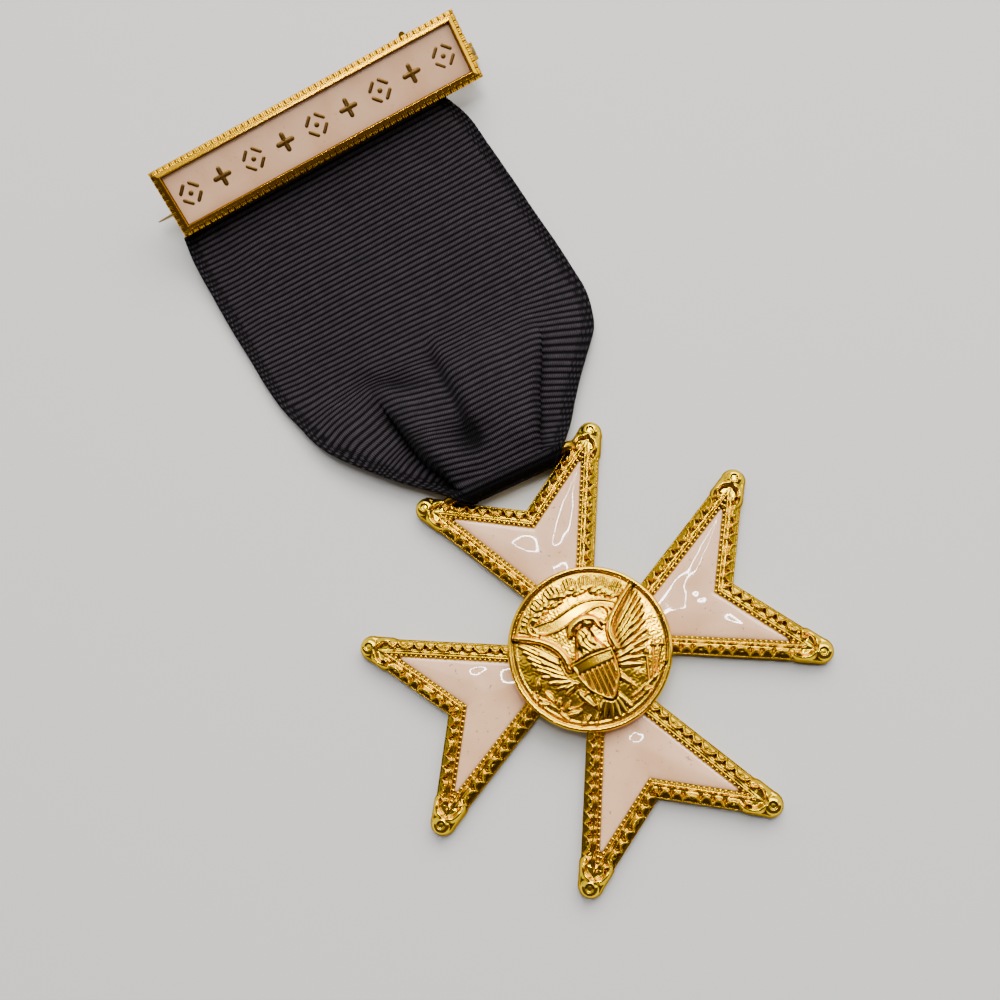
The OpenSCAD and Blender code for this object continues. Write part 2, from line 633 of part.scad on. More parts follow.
// Height of the ribbon's middle line up its front, joined to the two loops at its ends
function front_z(u) =
  front(5, u) * crown_h
  + (susp_z + wrap_mid - front(5, 0) * crown_h) * ease(0.1, 0, u)
  + (front_edge[1] - front(5, 1) * crown_h) * ease(0.75, 1, u);

// Stations across the ribbon: which panel, and the share of the way over it
ACROSS = concat(
  [for (s = [0, 0.22, 0.44, 0.66, 0.86, 1]) [0, s]], [[1, 0]],
  [for (s = [0:0.1:1]) [2, s]], [[3, 0]],
  [for (s = [0, 0.2, 0.45, 0.7, 1]) [4, s]]
);
half_step = 0.011 * ribbon_w;
function station(r, q) =
  q[0] == 0 ? r[4] + (r[5] - half_step - r[4]) * q[1] :
  q[0] == 1 ? r[5] :
  q[0] == 2 ? r[5] + half_step + (r[6] - r[5] - 2 * half_step) * q[1] :
  q[0] == 3 ? r[6] : r[6] + half_step + (r[7] - r[6] - half_step) * q[1];
function fold(r, x) =
  r[8] * crown_h * ease(r[5] - half_step, r[5] + half_step, x)
  * ease(r[6] + half_step, r[6] - half_step, x)
  + (r[9] < 1 && r[9] > 0 ? valley(x, r[9]) + ridge(x, r[9]) : 0);

// A point of the wall, side times half its thickness from the middle surface
function wall_point(r, q, side) =
  let (x = station(r, q), slope = (fold(r, x + 0.2) - fold(r, x - 0.2)) / 0.4,
       h = fold(r, x) + side * ribbon_t / 2 * min(1.8, sqrt(1 + slope * slope)),
       y = h * cos(r[2]), z = h * sin(r[2]))
  [bar_x + (x - bar_x) * cos(r[3]) - y * sin(r[3]), r[0] + (x - bar_x) * sin(r[3]) + y * cos(r[3]), r[1] + z];

module ribbon() {
  rows = concat(upper_tail, upper_wrap, bar_pass, front_rows, lower_wrap, lower_tail);
  m = len(rows);
  n = len(ACROSS);
  outer = [for (r = rows) for (q = ACROSS) wall_point(r, q, 1)];
  inner = [for (r = rows) for (q = ACROSS) wall_point(r, q, -1)];
  k = m * n;
  skins = [for (i = [0:m - 2]) for (j = [0:n - 2])
    let (a = i * n + j, b = a + 1, d = a + n, c = d + 1)
    each [[a, b, c], [a, c, d], [a + k, d + k, c + k], [a + k, c + k, b + k]]];
  sides = [for (i = [0:m - 2]) let (a = i * n, d = a + n, b = a + n - 1, c = d + n - 1)
    each [[a, d, d + k], [a, d + k, a + k], [b, c + k, c], [b, b + k, c + k]]];
  ends = [for (j = [0:n - 2]) let (e = (m - 1) * n + j)
    each [[j + 1, j, j + k], [j + 1, j + k, j + 1 + k], [e, e + 1, e + 1 + k], [e, e + 1 + k, e + k]]];
  color(silk) polyhedron(concat(outer, inner), concat(skins, sides, ends));
}

cross_frame();
enamel_top();
enamel_right();
enamel_bottom();
enamel_left();
medallion();
ribbon();
ribbon_rod();
bar_frame();
bar_enamel();
hinge_rivet();
pin_stem();
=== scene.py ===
# %% [markdown]
# # A cross jewel on a ribbon, dressed in Blender
# The solid model of the jewel comes from CAD. This lesson loads it and dresses it: chased gilt
# borders, beads, domed enamel, a struck medallion, a ribbed silk ribbon and a brooch bar.
# Sizes below are in millimetres, as the maker of the jewel would say them. MM turns them into
# metres, Blender's unit, at the moment a mesh is made.

# %% Load the solid model
import math

import bpy
import numpy as np
from mathutils import Matrix, Vector


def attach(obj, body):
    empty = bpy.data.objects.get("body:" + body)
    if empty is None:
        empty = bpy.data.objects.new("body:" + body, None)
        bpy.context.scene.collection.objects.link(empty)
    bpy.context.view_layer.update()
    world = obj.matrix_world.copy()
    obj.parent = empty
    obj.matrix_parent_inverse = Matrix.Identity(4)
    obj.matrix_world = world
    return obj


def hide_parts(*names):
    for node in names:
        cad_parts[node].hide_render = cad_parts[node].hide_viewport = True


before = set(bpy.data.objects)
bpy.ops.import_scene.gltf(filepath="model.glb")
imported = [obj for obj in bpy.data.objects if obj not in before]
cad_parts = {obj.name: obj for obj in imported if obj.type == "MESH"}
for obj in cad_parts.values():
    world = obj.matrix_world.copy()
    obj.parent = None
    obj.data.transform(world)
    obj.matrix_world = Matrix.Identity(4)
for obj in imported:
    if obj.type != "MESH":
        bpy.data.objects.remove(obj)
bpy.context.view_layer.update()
MM = 0.001
print("nodes:", ", ".join(sorted(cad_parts)))

# %% [markdown]
# ## The camera
# It stands where the photographer stood: above the cross, a little towards its lower arm. A camera
# looks along its own -Z axis. We aim that axis at a point on the table, then roll the camera about
# it until the jewel leans to the left, as in the picture.

# %% Place the camera
eye = Vector((1.894, -9.645, 114.033)) * MM
aim = Vector((-2.192, 19.337, 0)) * MM
roll = math.radians(-32.76)


def looking(place, at):
    """The matrix of something that stands at a place and looks at a point along its own -Z axis."""
    turn = (Vector(at) - Vector(place)).to_track_quat("-Z", "Y")
    return Matrix.Translation(place) @ turn.to_matrix().to_4x4()


camera = bpy.data.objects.new("camera", bpy.data.cameras.new("camera"))
bpy.context.collection.objects.link(camera)
camera.matrix_world = looking(eye, aim) @ Matrix.Rotation(roll, 4, "Z")
camera.data.lens = 37.8
camera.data.sensor_width = 36
camera.data.clip_start = 0.005
bpy.context.scene.camera = camera
print("camera is", round((aim - eye).length / MM), "mm from the table")

# %% [markdown]
# ## Tools for making meshes
# Almost every piece here is a grid of points, row by row, joined into four-sided faces. One helper
# joins the grid and another turns the result into a Blender object that moves with the solid model.
# A "mark" is one number per point, such as how much dirt and painted shade it carries. Shaders read marks
# later.

# %% Mesh helpers
def grid_faces(rows, columns, close_columns=False):
    """Faces that join a grid of points. Closed columns join the last one back to the first."""
    row = np.arange(rows - 1)[:, None] * columns
    column = np.arange(columns if close_columns else columns - 1)[None, :]
    after = (column + 1) % columns
    corners = [row + column, row + after, row + columns + after, row + columns + column]
    return np.stack(corners, -1).reshape(-1, 4)


def piece(name, points, faces, material, body="jewel", marks=None, smooth=True):
    """A mesh object from points in millimetres, riding on a body of the solid model."""
    mesh = bpy.data.meshes.new(name)
    points = np.asarray(points, float).reshape(-1, 3) * MM
    mesh.from_pydata(points.tolist(), [], [list(f) for f in faces])
    mesh.validate()
    mesh.shade_smooth() if smooth else mesh.shade_flat()
    for mark, values in (marks or {}).items():
        layer = mesh.attributes.new(mark, "FLOAT", "POINT")
        layer.data.foreach_set("value", np.asarray(values, np.float32).ravel())
    made = bpy.data.objects.new(name, mesh)
    made.data.materials.append(material)
    bpy.context.collection.objects.link(made)
    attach(made, body)
    return made


def merge(parts):
    """One list of points, faces and marks from several (points, faces, marks)."""
    points, faces, marks, first = [], [], {}, 0
    for p, f, m in parts:
        p = np.asarray(p, float).reshape(-1, 3)
        points.append(p)
        rows = f.tolist() if isinstance(f, np.ndarray) else f
        faces += [[i + first for i in face] for face in rows]
        for key, values in m.items():
            marks.setdefault(key, []).append(np.asarray(values, float).ravel())
        first += len(p)
    return np.vstack(points), faces, {key: np.concatenate(v) for key, v in marks.items()}


def one_mark(points, value):
    """The same mark of dirt and painted shade for every point."""
    return {"dirt_and_shade": np.full(np.asarray(points).size // 3, value)}


print("mesh helpers ready")

# %% [markdown]
# Turned parts, such as a rim or a wire, are a profile carried round an axis. Soft shapes are sums of
# three curves: `ease` is a smooth step, `bell` a soft hill and `dome` a ridge with a round back.

# %% Shape helpers
def around(count):
    """Angles spread evenly over one turn."""
    return np.linspace(0, 2 * np.pi, count, endpoint=False)


def lathe(profile, segments, start=(0, 0, 0), axes=((0, 0, 1), (1, 0, 0), (0, 1, 0))):
    """A turned shape. Profile rows are distance along the first axis, radius and mark of dirt and painted
    shade.
    """
    profile = np.array(profile, float)
    run, across, up = np.array(axes, float)
    a = around(segments)[None, :, None]
    outward = np.cos(a) * across + np.sin(a) * up
    points = start + profile[:, None, :1] * run + profile[:, None, 1:2] * outward
    marks = {"dirt_and_shade": np.repeat(profile[:, 2], segments)}
    return points.reshape(-1, 3), grid_faces(len(profile), segments, True), marks


def turned(points, degrees):
    """Points turned clockwise about the jewel's centre, seen from the front."""
    a = -math.radians(degrees)
    spin = np.array([[math.cos(a), -math.sin(a), 0], [math.sin(a), math.cos(a), 0], [0, 0, 1]])
    return np.asarray(points, float).reshape(-1, 3) @ spin.T


def ease(low, high, value):
    """0 below low, 1 above high and a smooth rise between."""
    s = np.clip((np.asarray(value, float) - low) / (high - low), 0, 1)
    return s * s * (3 - 2 * s)


def bell(x, wide, y=0.0, tall=1.0):
    """1 where x and y are 0, falling off softly over the width and the height given."""
    return np.exp(-((x / wide) ** 2) - (y / tall) ** 2)


def dome(distance, half):
    """1 on a ridge's line and 0 from its half width on, round between."""
    return np.sqrt(np.clip(1 - (distance / half) ** 2, 0, 1))


print("half way up a step:", ease(0, 1, 0.5))

# %% [markdown]
# ## Materials
# Each effect that varies over a surface is a small node group with named sockets. The group gives
# out a colour, a roughness or a normal, and the Principled shader of the material takes them in.
# `start_group` makes an empty group. `feed` links or sets one socket, and `add`, `maths` and `blend`
# each make one node with it, so that a group reads like a recipe.

# %% Node group helpers
COLOUR, VALUE, VECTOR = "NodeSocketColor", "NodeSocketFloat", "NodeSocketVector"


def start_group(name, inputs, outputs):
    """A shader node group with (name, socket type, default) inputs and (name, type) outputs."""
    group = bpy.data.node_groups.new(name, "ShaderNodeTree")
    for label, kind, default in inputs:
        socket = group.interface.new_socket(label, in_out="INPUT", socket_type=kind)
        socket.default_value = default
    for label, kind in outputs:
        group.interface.new_socket(label, in_out="OUTPUT", socket_type=kind)
    return group, group.nodes.new("NodeGroupInput"), group.nodes.new("NodeGroupOutput")


def feed(tree, socket, value):
    """Link an output socket to an input socket, or set the input to a plain value."""
    if hasattr(value, "node"):
        tree.links.new(value, socket)
    else:
        socket.default_value = value


def add(tree, kind, **settings):
    """A node with its settings. A name that is no setting of the node feeds an input socket."""
    node = tree.nodes.new(kind)
    for key, value in settings.items():
        if hasattr(node, key):
            setattr(node, key, value)
        else:
            feed(tree, node.inputs[key.replace("_", " ")], value)
    return node


def maths(tree, operation, a, b=None, clamp=False):
    """A Math node. Each of a and b is a number or an output socket."""
    node = add(tree, "ShaderNodeMath", operation=operation, use_clamp=clamp)
    feed(tree, node.inputs[0], a)
    if b is not None:
        feed(tree, node.inputs[1], b)
    return node.outputs[0]


def blend(tree, share, a, b):
    """A colour between a and b. Each is a colour or an output socket."""
    node = add(tree, "ShaderNodeMix", data_type="RGBA", Factor=share)
    # a Mix node keeps its colours in inputs 6 and 7 and in output 2
    feed(tree, node.inputs[6], a)
    feed(tree, node.inputs[7], b)
    return node.outputs[2]


print("node helpers ready")

# %% [markdown]
# `mark_value` brings a mark of the mesh into a shader, and `noise` is a pattern fixed to the object.
# `material` joins a group to a Principled shader, where Fresnel and the like stay.

# %% Pattern and material helpers
def mark_value(tree, name):
    """Output of a mark stored on the mesh."""
    return add(tree, "ShaderNodeAttribute", attribute_name=name).outputs["Fac"]


def noise(tree, scale, detail):
    """Output of a noise pattern in object space. Scale counts features per metre."""
    place = tree.nodes.new("ShaderNodeTexCoord").outputs["Object"]
    return add(tree, "ShaderNodeTexNoise", Scale=scale, Detail=detail, Vector=place).outputs["Fac"]


def plain_material(name, **settings):
    """A material and its Principled shader, with some of the shader's inputs set."""
    made = bpy.data.materials.new(name)
    made.use_nodes = True
    shader = made.node_tree.nodes["Principled BSDF"]
    for key, value in settings.items():
        shader.inputs[key.replace("_", " ")].default_value = value
    return made, shader


def material(name, group, links, **settings):
    """A material whose Principled shader takes outputs of a node group. Links pair the two names."""
    made, shader = plain_material(name, **settings)
    node = made.node_tree.nodes.new("ShaderNodeGroup")
    node.node_tree = group
    for output, target in links.items():
        made.node_tree.links.new(node.outputs[output], shader.inputs[target])
    return made, node


print("material helpers ready")

# %% [markdown]
# ### Gilt
# Gold plate is bright where it was rubbed and brown in the grooves, where lacquer and dirt stay.
# The group mixes two golds by a mark of dirt and painted shade, which also darkens hollows, the feet
# of walls and parts that lie in shadow. It adds a slow change of tone and roughens the surface a
# little with a fine bump. Any metal turns pale where it is seen edge-on. The shader's Specular Tint
# holds that back, so the steep walls stay golden.

# %% Gilt materials
TONE_SCALE, GRAIN_SCALE, GRAIN_HEIGHT = 420, 5200, 0.00004
TONE_SHARE, DIRT_ROUGH, TONE_ROUGH = 0.35, 0.14, 0.05

gilt, into, out = start_group(
    "Gilt tone",
    [("Bright", COLOUR, (1.0, 0.67, 0.006, 1)), ("Deep", COLOUR, (0.13, 0.045, 0.001, 1)),
     ("Roughness", VALUE, 0.2), ("Grain", VALUE, 0.01)],
    [("Colour", COLOUR), ("Roughness", VALUE), ("Normal", VECTOR)])
tone = noise(gilt, TONE_SCALE, 3)
change = maths(gilt, "MULTIPLY", maths(gilt, "SUBTRACT", tone, 0.5), TONE_SHARE)
depth = maths(gilt, "ADD", mark_value(gilt, "dirt_and_shade"), change, True)
gilt.links.new(blend(gilt, depth, into.outputs["Bright"], into.outputs["Deep"]), out.inputs["Colour"])
rough = maths(gilt, "ADD", into.outputs["Roughness"], maths(gilt, "MULTIPLY", depth, DIRT_ROUGH))
rough = maths(gilt, "ADD", rough, maths(gilt, "MULTIPLY", tone, TONE_ROUGH))
gilt.links.new(rough, out.inputs["Roughness"])
bump = add(gilt, "ShaderNodeBump", Distance=GRAIN_HEIGHT, Strength=into.outputs["Grain"],
           Height=noise(gilt, GRAIN_SCALE, 2))
gilt.links.new(bump.outputs["Normal"], out.inputs["Normal"])

GILT_LINKS = {"Colour": "Base Color", "Roughness": "Roughness", "Normal": "Normal"}
GLANCING = (1.0, 0.76, 0.25, 1)


def gilt_finish(name, **values):
    """A gilt material with its own values for some sockets of the group."""
    made, node = material(name, gilt, GILT_LINKS, Metallic=1, Specular_Tint=GLANCING)
    for key, value in values.items():
        node.inputs[key].default_value = value
    return made


cross_gilt = gilt_finish("gilt_cross", Roughness=0.11)
medal_gilt = gilt_finish("gilt_medallion", Roughness=0.10,
                         Bright=(0.89, 0.515, 0.004, 1), Deep=(0.12, 0.06, 0.002, 1))
bar_gilt = gilt_finish("gilt_bar", Roughness=0.20, Bright=(0.80, 0.42, 0.004, 1), Grain=0.0)
motif_gilt = gilt_finish("gilt_motif", Roughness=0.35, Bright=(0.27, 0.145, 0.035, 1))
wire_gilt = gilt_finish("gilt_wire", Roughness=0.3, Bright=(0.8, 0.52, 0.16, 1))
print("materials so far:", len(bpy.data.materials))

# %% [markdown]
# ### Enamel
# Old white enamel is a warm pinkish cream. Fine dark specks and faint clouds lie in it. The specks
# come from a sharp threshold on a noise pattern, so only its rare peaks show.

# %% Enamel materials
enamel, into, out = start_group(
    "Aged enamel",
    [("Cream", COLOUR, (1.0, 0.61, 0.37, 1)), ("Cloud", COLOUR, (0.92, 0.53, 0.30, 1)),
     ("Speck", COLOUR, (0.16, 0.08, 0.04, 1)), ("Speck amount", VALUE, 0.6)],
    [("Colour", COLOUR)])
CLOUD_SCALE, SPECK_SCALE = 260, 2100
clouds = add(enamel, "ShaderNodeMapRange", From_Min=0.42, From_Max=0.68, Value=noise(enamel, CLOUD_SCALE, 4))
ground = blend(enamel, clouds.outputs[0], into.outputs["Cream"], into.outputs["Cloud"])
specks = add(enamel, "ShaderNodeMapRange", From_Min=0.66, From_Max=0.73, Value=noise(enamel, SPECK_SCALE, 3))
speckle = maths(enamel, "MULTIPLY", specks.outputs[0], into.outputs["Speck amount"])
enamel.links.new(blend(enamel, speckle, ground, into.outputs["Speck"]), out.inputs["Colour"])

cell_enamel, _ = material("cell_enamel", enamel, {"Colour": "Base Color"}, Roughness=0.045,
                          Coat_Weight=0.6, Coat_Roughness=0.02, IOR=1.55)
panel_enamel, node = material("panel_enamel", enamel, {"Colour": "Base Color"}, Roughness=0.3,
                              Coat_Weight=0.25, Coat_Roughness=0.12, IOR=1.5)
node.inputs["Speck amount"].default_value = 0.2
print("materials so far:", len(bpy.data.materials))

# %% [markdown]
# ### Silk
# The ribs of the ribbon are real bumps in its mesh. The `rib` mark is 1 on top of a rib and 0 in the
# gap between two. `across` is the distance over the cloth in millimetres and `along` counts the ribs.
# From those two the group draws the fine warp threads, which lean a little from one rib to the next.

# %% Silk material
THREAD_PITCH, THREAD_LEAN, THREAD_HEIGHT = 0.21, 4.2, 0.00005

silk, into, out = start_group(
    "Ribbed silk",
    [("Rib", COLOUR, (0.052, 0.043, 0.052, 1)), ("Gap", COLOUR, (0.0012, 0.0009, 0.0014, 1)),
     ("Thread", VALUE, 0.5)],
    [("Colour", COLOUR), ("Normal", VECTOR)])
over_cloth = maths(silk, "MULTIPLY", mark_value(silk, "across"), 2 * math.pi / THREAD_PITCH)
lean = maths(silk, "MULTIPLY", mark_value(silk, "along"), THREAD_LEAN)
wave = maths(silk, "SINE", maths(silk, "ADD", over_cloth, lean))
slub = noise(silk, 900, 3)
# from the near-black Gap up to the Rib colour by the rib mark: painted shade between the ribs and in the
# hollows that valley darkens
light = add(silk, "ShaderNodeMapRange", interpolation_type="SMOOTHSTEP", From_Min=0.55, From_Max=1.0,
            Value=mark_value(silk, "rib")).outputs[0]
light = maths(silk, "MULTIPLY", light, maths(silk, "ADD", 0.45, maths(silk, "MULTIPLY", slub, 0.9)))
light = maths(silk, "MULTIPLY", light, maths(silk, "ADD", 0.72, maths(silk, "MULTIPLY", wave, 0.28)), True)
silk.links.new(blend(silk, light, into.outputs["Gap"], into.outputs["Rib"]), out.inputs["Colour"])
bump = add(silk, "ShaderNodeBump", Distance=THREAD_HEIGHT, Strength=into.outputs["Thread"],
           Height=maths(silk, "ADD", wave, slub))
silk.links.new(bump.outputs["Normal"], out.inputs["Normal"])
silk_cloth, _ = material("silk_ribbon", silk, {"Colour": "Base Color", "Normal": "Normal"}, Roughness=0.6,
                         Specular_IOR_Level=0.06)
print("materials so far:", len(bpy.data.materials))

# %% [markdown]
# ## The chased border
# Each arm is bounded by two straight flanks through the centre and a V-shaped notch. Every line of
# the border is found from those by moving them inward by an inset. The border itself is a strip: rows
# run along the edge and columns run inward. Its section gives the plain moulding, and the chasing is
# added on top as a function of the distance along the edge.

# %% Lines of one arm
ARMS = ("top", "right", "bottom", "left")
FLANK, SLOPE = math.radians(27.5), math.radians(32)
NOTCH_R, BORDER_W, BALL_R, LOBE_R = 16.7, 1.85, 1.12, 1.7
REACH, LOBE_BACK = BALL_R - 0.06, 2.1
flank_run = np.array([math.sin(FLANK), math.cos(FLANK)])
flank_in = np.array([-math.cos(FLANK), math.sin(FLANK)])
notch_run = np.array([math.cos(SLOPE), math.sin(SLOPE)])
notch_in = np.array([math.sin(SLOPE), -math.cos(SLOPE)])
notch_at = np.array([0.0, NOTCH_R])


def tip_corner(inset):
    """Where the flank and the notch meet once both have moved inward."""
    return np.linalg.solve(np.array([flank_in, notch_in]), [inset, inset + notch_in @ notch_at])


inward = tip_corner(BORDER_W) - tip_corner(0)
inward /= np.linalg.norm(inward)
ball_at = tip_corner(REACH)
lobe_at = ball_at + LOBE_BACK * inward
print("tip ball at", ball_at.round(2), "and shell lobe at", lobe_at.round(2))

# %% [markdown]
# The plain moulding is a section from the outer wall's foot to the groove beside the enamel. The
# chasing on it repeats two arches and a longer fan. `chased` gives, for a distance along the edge, the
# number of the arch and how far along it a point is.

# %% Moulding and arches
# columns: inset, height
MOULDING = np.array([
    [0.00, 0.00], [0.00, 1.05], [0.03, 1.16], [0.08, 1.26], [0.14, 1.35], [0.20, 1.42], [0.27, 1.48],
    [0.34, 1.53], [0.41, 1.56], [0.48, 1.58], [0.55, 1.60], [0.62, 1.61], [0.69, 1.62], [0.76, 1.62],
    [0.83, 1.61], [0.90, 1.58], [0.97, 1.54], [1.05, 1.50], [1.14, 1.48], [1.23, 1.49], [1.31, 1.53],
    [1.38, 1.60], [1.44, 1.69], [1.49, 1.74], [1.54, 1.73], [1.58, 1.62], [1.61, 1.50], [1.66, 1.44],
    [1.84, 1.42], [1.84, 0.80]])
ARCH, FAN = 1.2, 1.75


def chased(s):
    """Arch number, share of the way along the arch, and 1 where the arch is a fan."""
    cycle = 2 * ARCH + FAN
    turn_no = np.floor(s / cycle)
    rest = s - turn_no * cycle
    fan = rest > 2 * ARCH
    share = np.where(fan, (rest - 2 * ARCH) / FAN, (rest % ARCH) / ARCH)
    number = turn_no * 3 + np.where(fan, 2, np.floor(rest / ARCH))
    return number, share, fan.astype(float)


print("one round of the chasing is", 2 * ARCH + FAN, "mm long")

# %% [markdown]
# `border_height` raises a crest line that waves over the arches, sinks the ground outside it and cuts
# a pocket at each cusp. `strip` lays the section along a straight edge. The strips meet in mitres, so
# where a strip starts and ends depends on the inset.

# %% Chased strips
CREST_LOW, CREST_RISE, CREST_HALF, CREST_HIGH = 0.26, 0.60, 0.115, 0.44
ROW_PITCH = 0.075


def border_height(s, inset, plain):
    """Height of the chased border and its cavity mark."""
    number, share, fan = chased(s)
    wobble = 0.07 * np.sin(number * 2.4 + 0.7)
    arch = np.sin(np.pi * np.clip(share, 0, 1)) ** np.where(fan > 0, 0.5, 0.8)
    crest = CREST_LOW + wobble * 0.4 + (CREST_RISE + wobble) * arch
    on = ease(1.14, 1.02, inset) * ease(0.02, 0.10, inset)
    ridge = np.exp(-np.abs((inset - crest) / CREST_HALF) ** 2.8)
    outside = ease(0.02, 0.12, crest - inset) * ease(0.0, 0.16, inset)
    # the pocket at a cusp widens towards the enamel
    from_cusp = np.minimum(share, 1 - share) * np.where(fan > 0, FAN, ARCH)
    half = 0.06 + 0.42 * (inset - 0.40)
    pocket = ease(half, half - 0.14, from_cusp) * ease(0.42, 0.52, inset) * ease(1.04, 0.94, inset)
    leaf = bell(share - 0.5, 0.26, inset - 0.90, 0.13)
    from_fan = np.hypot((share - 0.5) * FAN, inset - 0.95)
    petal = fan * bell(from_fan - 0.42, 0.07) * ease(1.0, 0.9, inset)
    lift = CREST_HIGH * ridge - 0.26 * outside - 0.30 * pocket * (1 - ridge) + 0.14 * leaf + 0.12 * petal
    # painted shade darkens the ground outside the crest, the pockets and the grooves along both edges
    deep = on * (0.68 * outside + 0.9 * pocket) * (1 - ridge) + ease(1.56, 1.61, inset) * 0.7
    deep = deep + 0.75 * ease(0.16, 0.06, inset)
    deep = deep + 0.36 * ease(0.90, 1.04, inset) * ease(1.48, 1.40, inset) * (1 - on * ridge)
    return plain + on * lift, np.clip(deep, 0, 1)


def strip(origin, run, into_cell, start, end):
    """A border strip. Start and end give, for an inset, the distances along the edge."""
    inset, plain = MOULDING[:, 0], MOULDING[:, 1]
    first = np.array([start(d) for d in inset])
    last = np.array([end(d) for d in inset])
    rows = int((last.max() - first.min()) / ROW_PITCH)
    s = first + (last - first) * np.linspace(0, 1, rows)[:, None]
    height, deep = border_height(s, np.broadcast_to(inset, s.shape), np.broadcast_to(plain, s.shape))
    # the outermost and innermost columns are the walls' feet and carry no chasing
    height[:, [0, -1]] = plain[[0, -1]]
    place = origin + s[..., None] * run + inset[None, :, None] * into_cell
    points = np.dstack([place, height])
    return points.reshape(-1, 3), grid_faces(rows, len(inset)), {"dirt_and_shade": deep}


print("points across a strip:", len(MOULDING))

# %% [markdown]
# The tip of an arm is a shell with a ball in front of it, cast in one with the border. Here it is one
# round patch of heights inside an outline that narrows from the lobe to the tip. The far edge of the
# patch is found by walking outward along each ray until the outline is passed.

# %% Rounded tip
SHELL_R, SHELL_HALF, FLUTES = 1.36, 0.28, 8
DOT_R, BALL_EDGE = 0.38, 1.02


def tip_cap(rings=34, segments=110):
    """The rounded end of the border: a crescent of shell, a smooth channel inside it and the tip ball."""
    end_at, end_r, lobe_r = ball_at + 0.26 * inward, BALL_R + 0.24, LOBE_R + 0.15
    centre = lobe_at + 0.45 * (end_at - lobe_at)
    span = end_at - lobe_at

    def room_at(at):
        """Distance inside the outline, negative outside it."""
        h = np.clip((at - lobe_at) @ span / (span @ span), 0, 1)
        return lobe_r * (1 - h) + end_r * h - np.linalg.norm(at - lobe_at - h[..., None] * span, axis=-1)

    rays = np.stack([np.cos(around(segments)), np.sin(around(segments))], -1)
    far_out = np.zeros(segments)
    for r in np.linspace(0.2, 3.4, 161):
        far_out = np.where(room_at(centre + r * rays) > 0, r, far_out)
    share = np.linspace(0, 1, rings)[:, None] ** 0.8
    at = centre + (share * far_out)[..., None] * rays
    room = room_at(at)
    # the inset counts from the flank or the notch, whichever is nearer, with the corner rounded
    to_flank, to_notch = at @ flank_in, (at - notch_at) @ notch_in
    inset = -0.16 * np.log(np.exp(-to_flank / 0.16) + np.exp(-to_notch / 0.16))
    off = at - lobe_at
    r = np.linalg.norm(off, axis=-1)
    ahead = ease(-0.5, 0.2, off @ -inward)
    angle = np.arctan2(off[..., 1], off[..., 0]) - math.atan2(-inward[1], -inward[0])
    flute = 0.5 + 0.5 * np.cos(FLUTES * angle)
    crescent = np.exp(-np.abs((r - SHELL_R) / SHELL_HALF) ** 2.6) * ease(1.25, 0.95, inset)
    z = 1.05 + 0.42 * ease(0, 0.28, room) * (0.2 + 0.8 * ahead) + 0.12 * ease(0.2, 0.6, room) * ahead
    z = z + 0.46 * crescent * (1 - 0.12 * flute) - 0.10 * ease(1.1, 0.9, r) * ahead
    # towards the enamel the patch takes over the border's inner line, then drops under the dome
    line = np.interp(inset, MOULDING[17:-1, 0], MOULDING[17:-1, 1])
    z = np.where(inset > 1.14, line * ahead + np.minimum(line, 1.42) * (1 - ahead), z)
    z = np.where(inset > 1.86, 1.2, z)
    rb = np.linalg.norm(at - ball_at, axis=-1)
    ball = 1.25 + 0.75 * np.clip(1 - (rb / BALL_EDGE) ** 2.4, 0, 1) ** 0.5 - 0.20 * ease(0.46, 0.30, rb)
    z = np.where(rb < BALL_EDGE, np.maximum(z, ball), z)
    # painted shade: darker near the outline, in the flutes, in rings round the ball's dot and foot, and in
    # the channel inside the shell
    deep = 0.8 * ease(0.34, 0.08, room) + 0.22 * crescent * flute + 0.9 * bell(rb - DOT_R, 0.09)
    deep = deep + 0.7 * bell(rb - BALL_EDGE, 0.08) * ease(0.25, 0.5, room) + ease(1.56, 1.61, inset)
    deep = deep + 0.75 * bell(r - 1.0, 0.12) * ease(1.15, 1.0, inset)
    # a last ring of points straight below the edge makes the side wall
    points = np.vstack([np.dstack([at, z]).reshape(-1, 3), np.c_[at[-1], np.zeros(segments)]])
    # the side wall is painted dark, as shade
    marks = np.concatenate([np.clip(deep, 0, 1).ravel(), np.full(segments, 0.85)])
    return points, grid_faces(rings + 1, segments, True), {"dirt_and_shade": marks}


tip = tip_cap()
print("points in one tip:", len(tip[0]))

# %% [markdown]
# One side of an arm is a strip along its flank, a strip along its notch and the tip between them. The
# other side is its mirror image, and the arm is turned to its four places.

# %% Four borders
BORDER_ROOT = 6.9


def mirrored(part):
    """The same part on the other side of the arm, with its faces turned to face out."""
    points, faces, marks = part
    return points * [-1, 1, 1], faces[:, ::-1], marks


lobe_flank = lobe_at @ flank_run
lobe_notch = (lobe_at - notch_at) @ notch_run
flank_strip = strip(np.zeros(2), flank_run, flank_in, lambda d: BORDER_ROOT,
                    lambda d: min(lobe_flank, tip_corner(d) @ flank_run))
points, faces, marks = strip(notch_at, notch_run, notch_in, lambda d: -d * math.tan(SLOPE),
                             lambda d: min(lobe_notch, (tip_corner(d) - notch_at) @ notch_run))
# the notch's strip runs the other way round its cell, so its faces are turned to face out
half = [flank_strip, (points, faces[:, ::-1], marks), tip]
arm = half + [mirrored(part) for part in half]
for number, name in enumerate(ARMS):
    points, faces, marks = merge([(turned(p, 90 * number), f, m) for p, f, m in arm])
    made = piece("border_" + name, points, faces, cross_gilt, marks=marks)
print("faces in one border:", len(made.data.polygons))

# %% [markdown]
# ## The back of the cross
# Under the borders lies a plain cast plate with a round hub. The plate is one flat outline of an arm,
# given a thickness and turned four times. The hub is a short turned disc that carries the medallion.

# %% Plate and hub
PLATE_T, HUB_R, HUB_TOP = 0.9, 7.65, 2.2
PLATE_STEP = 0.002


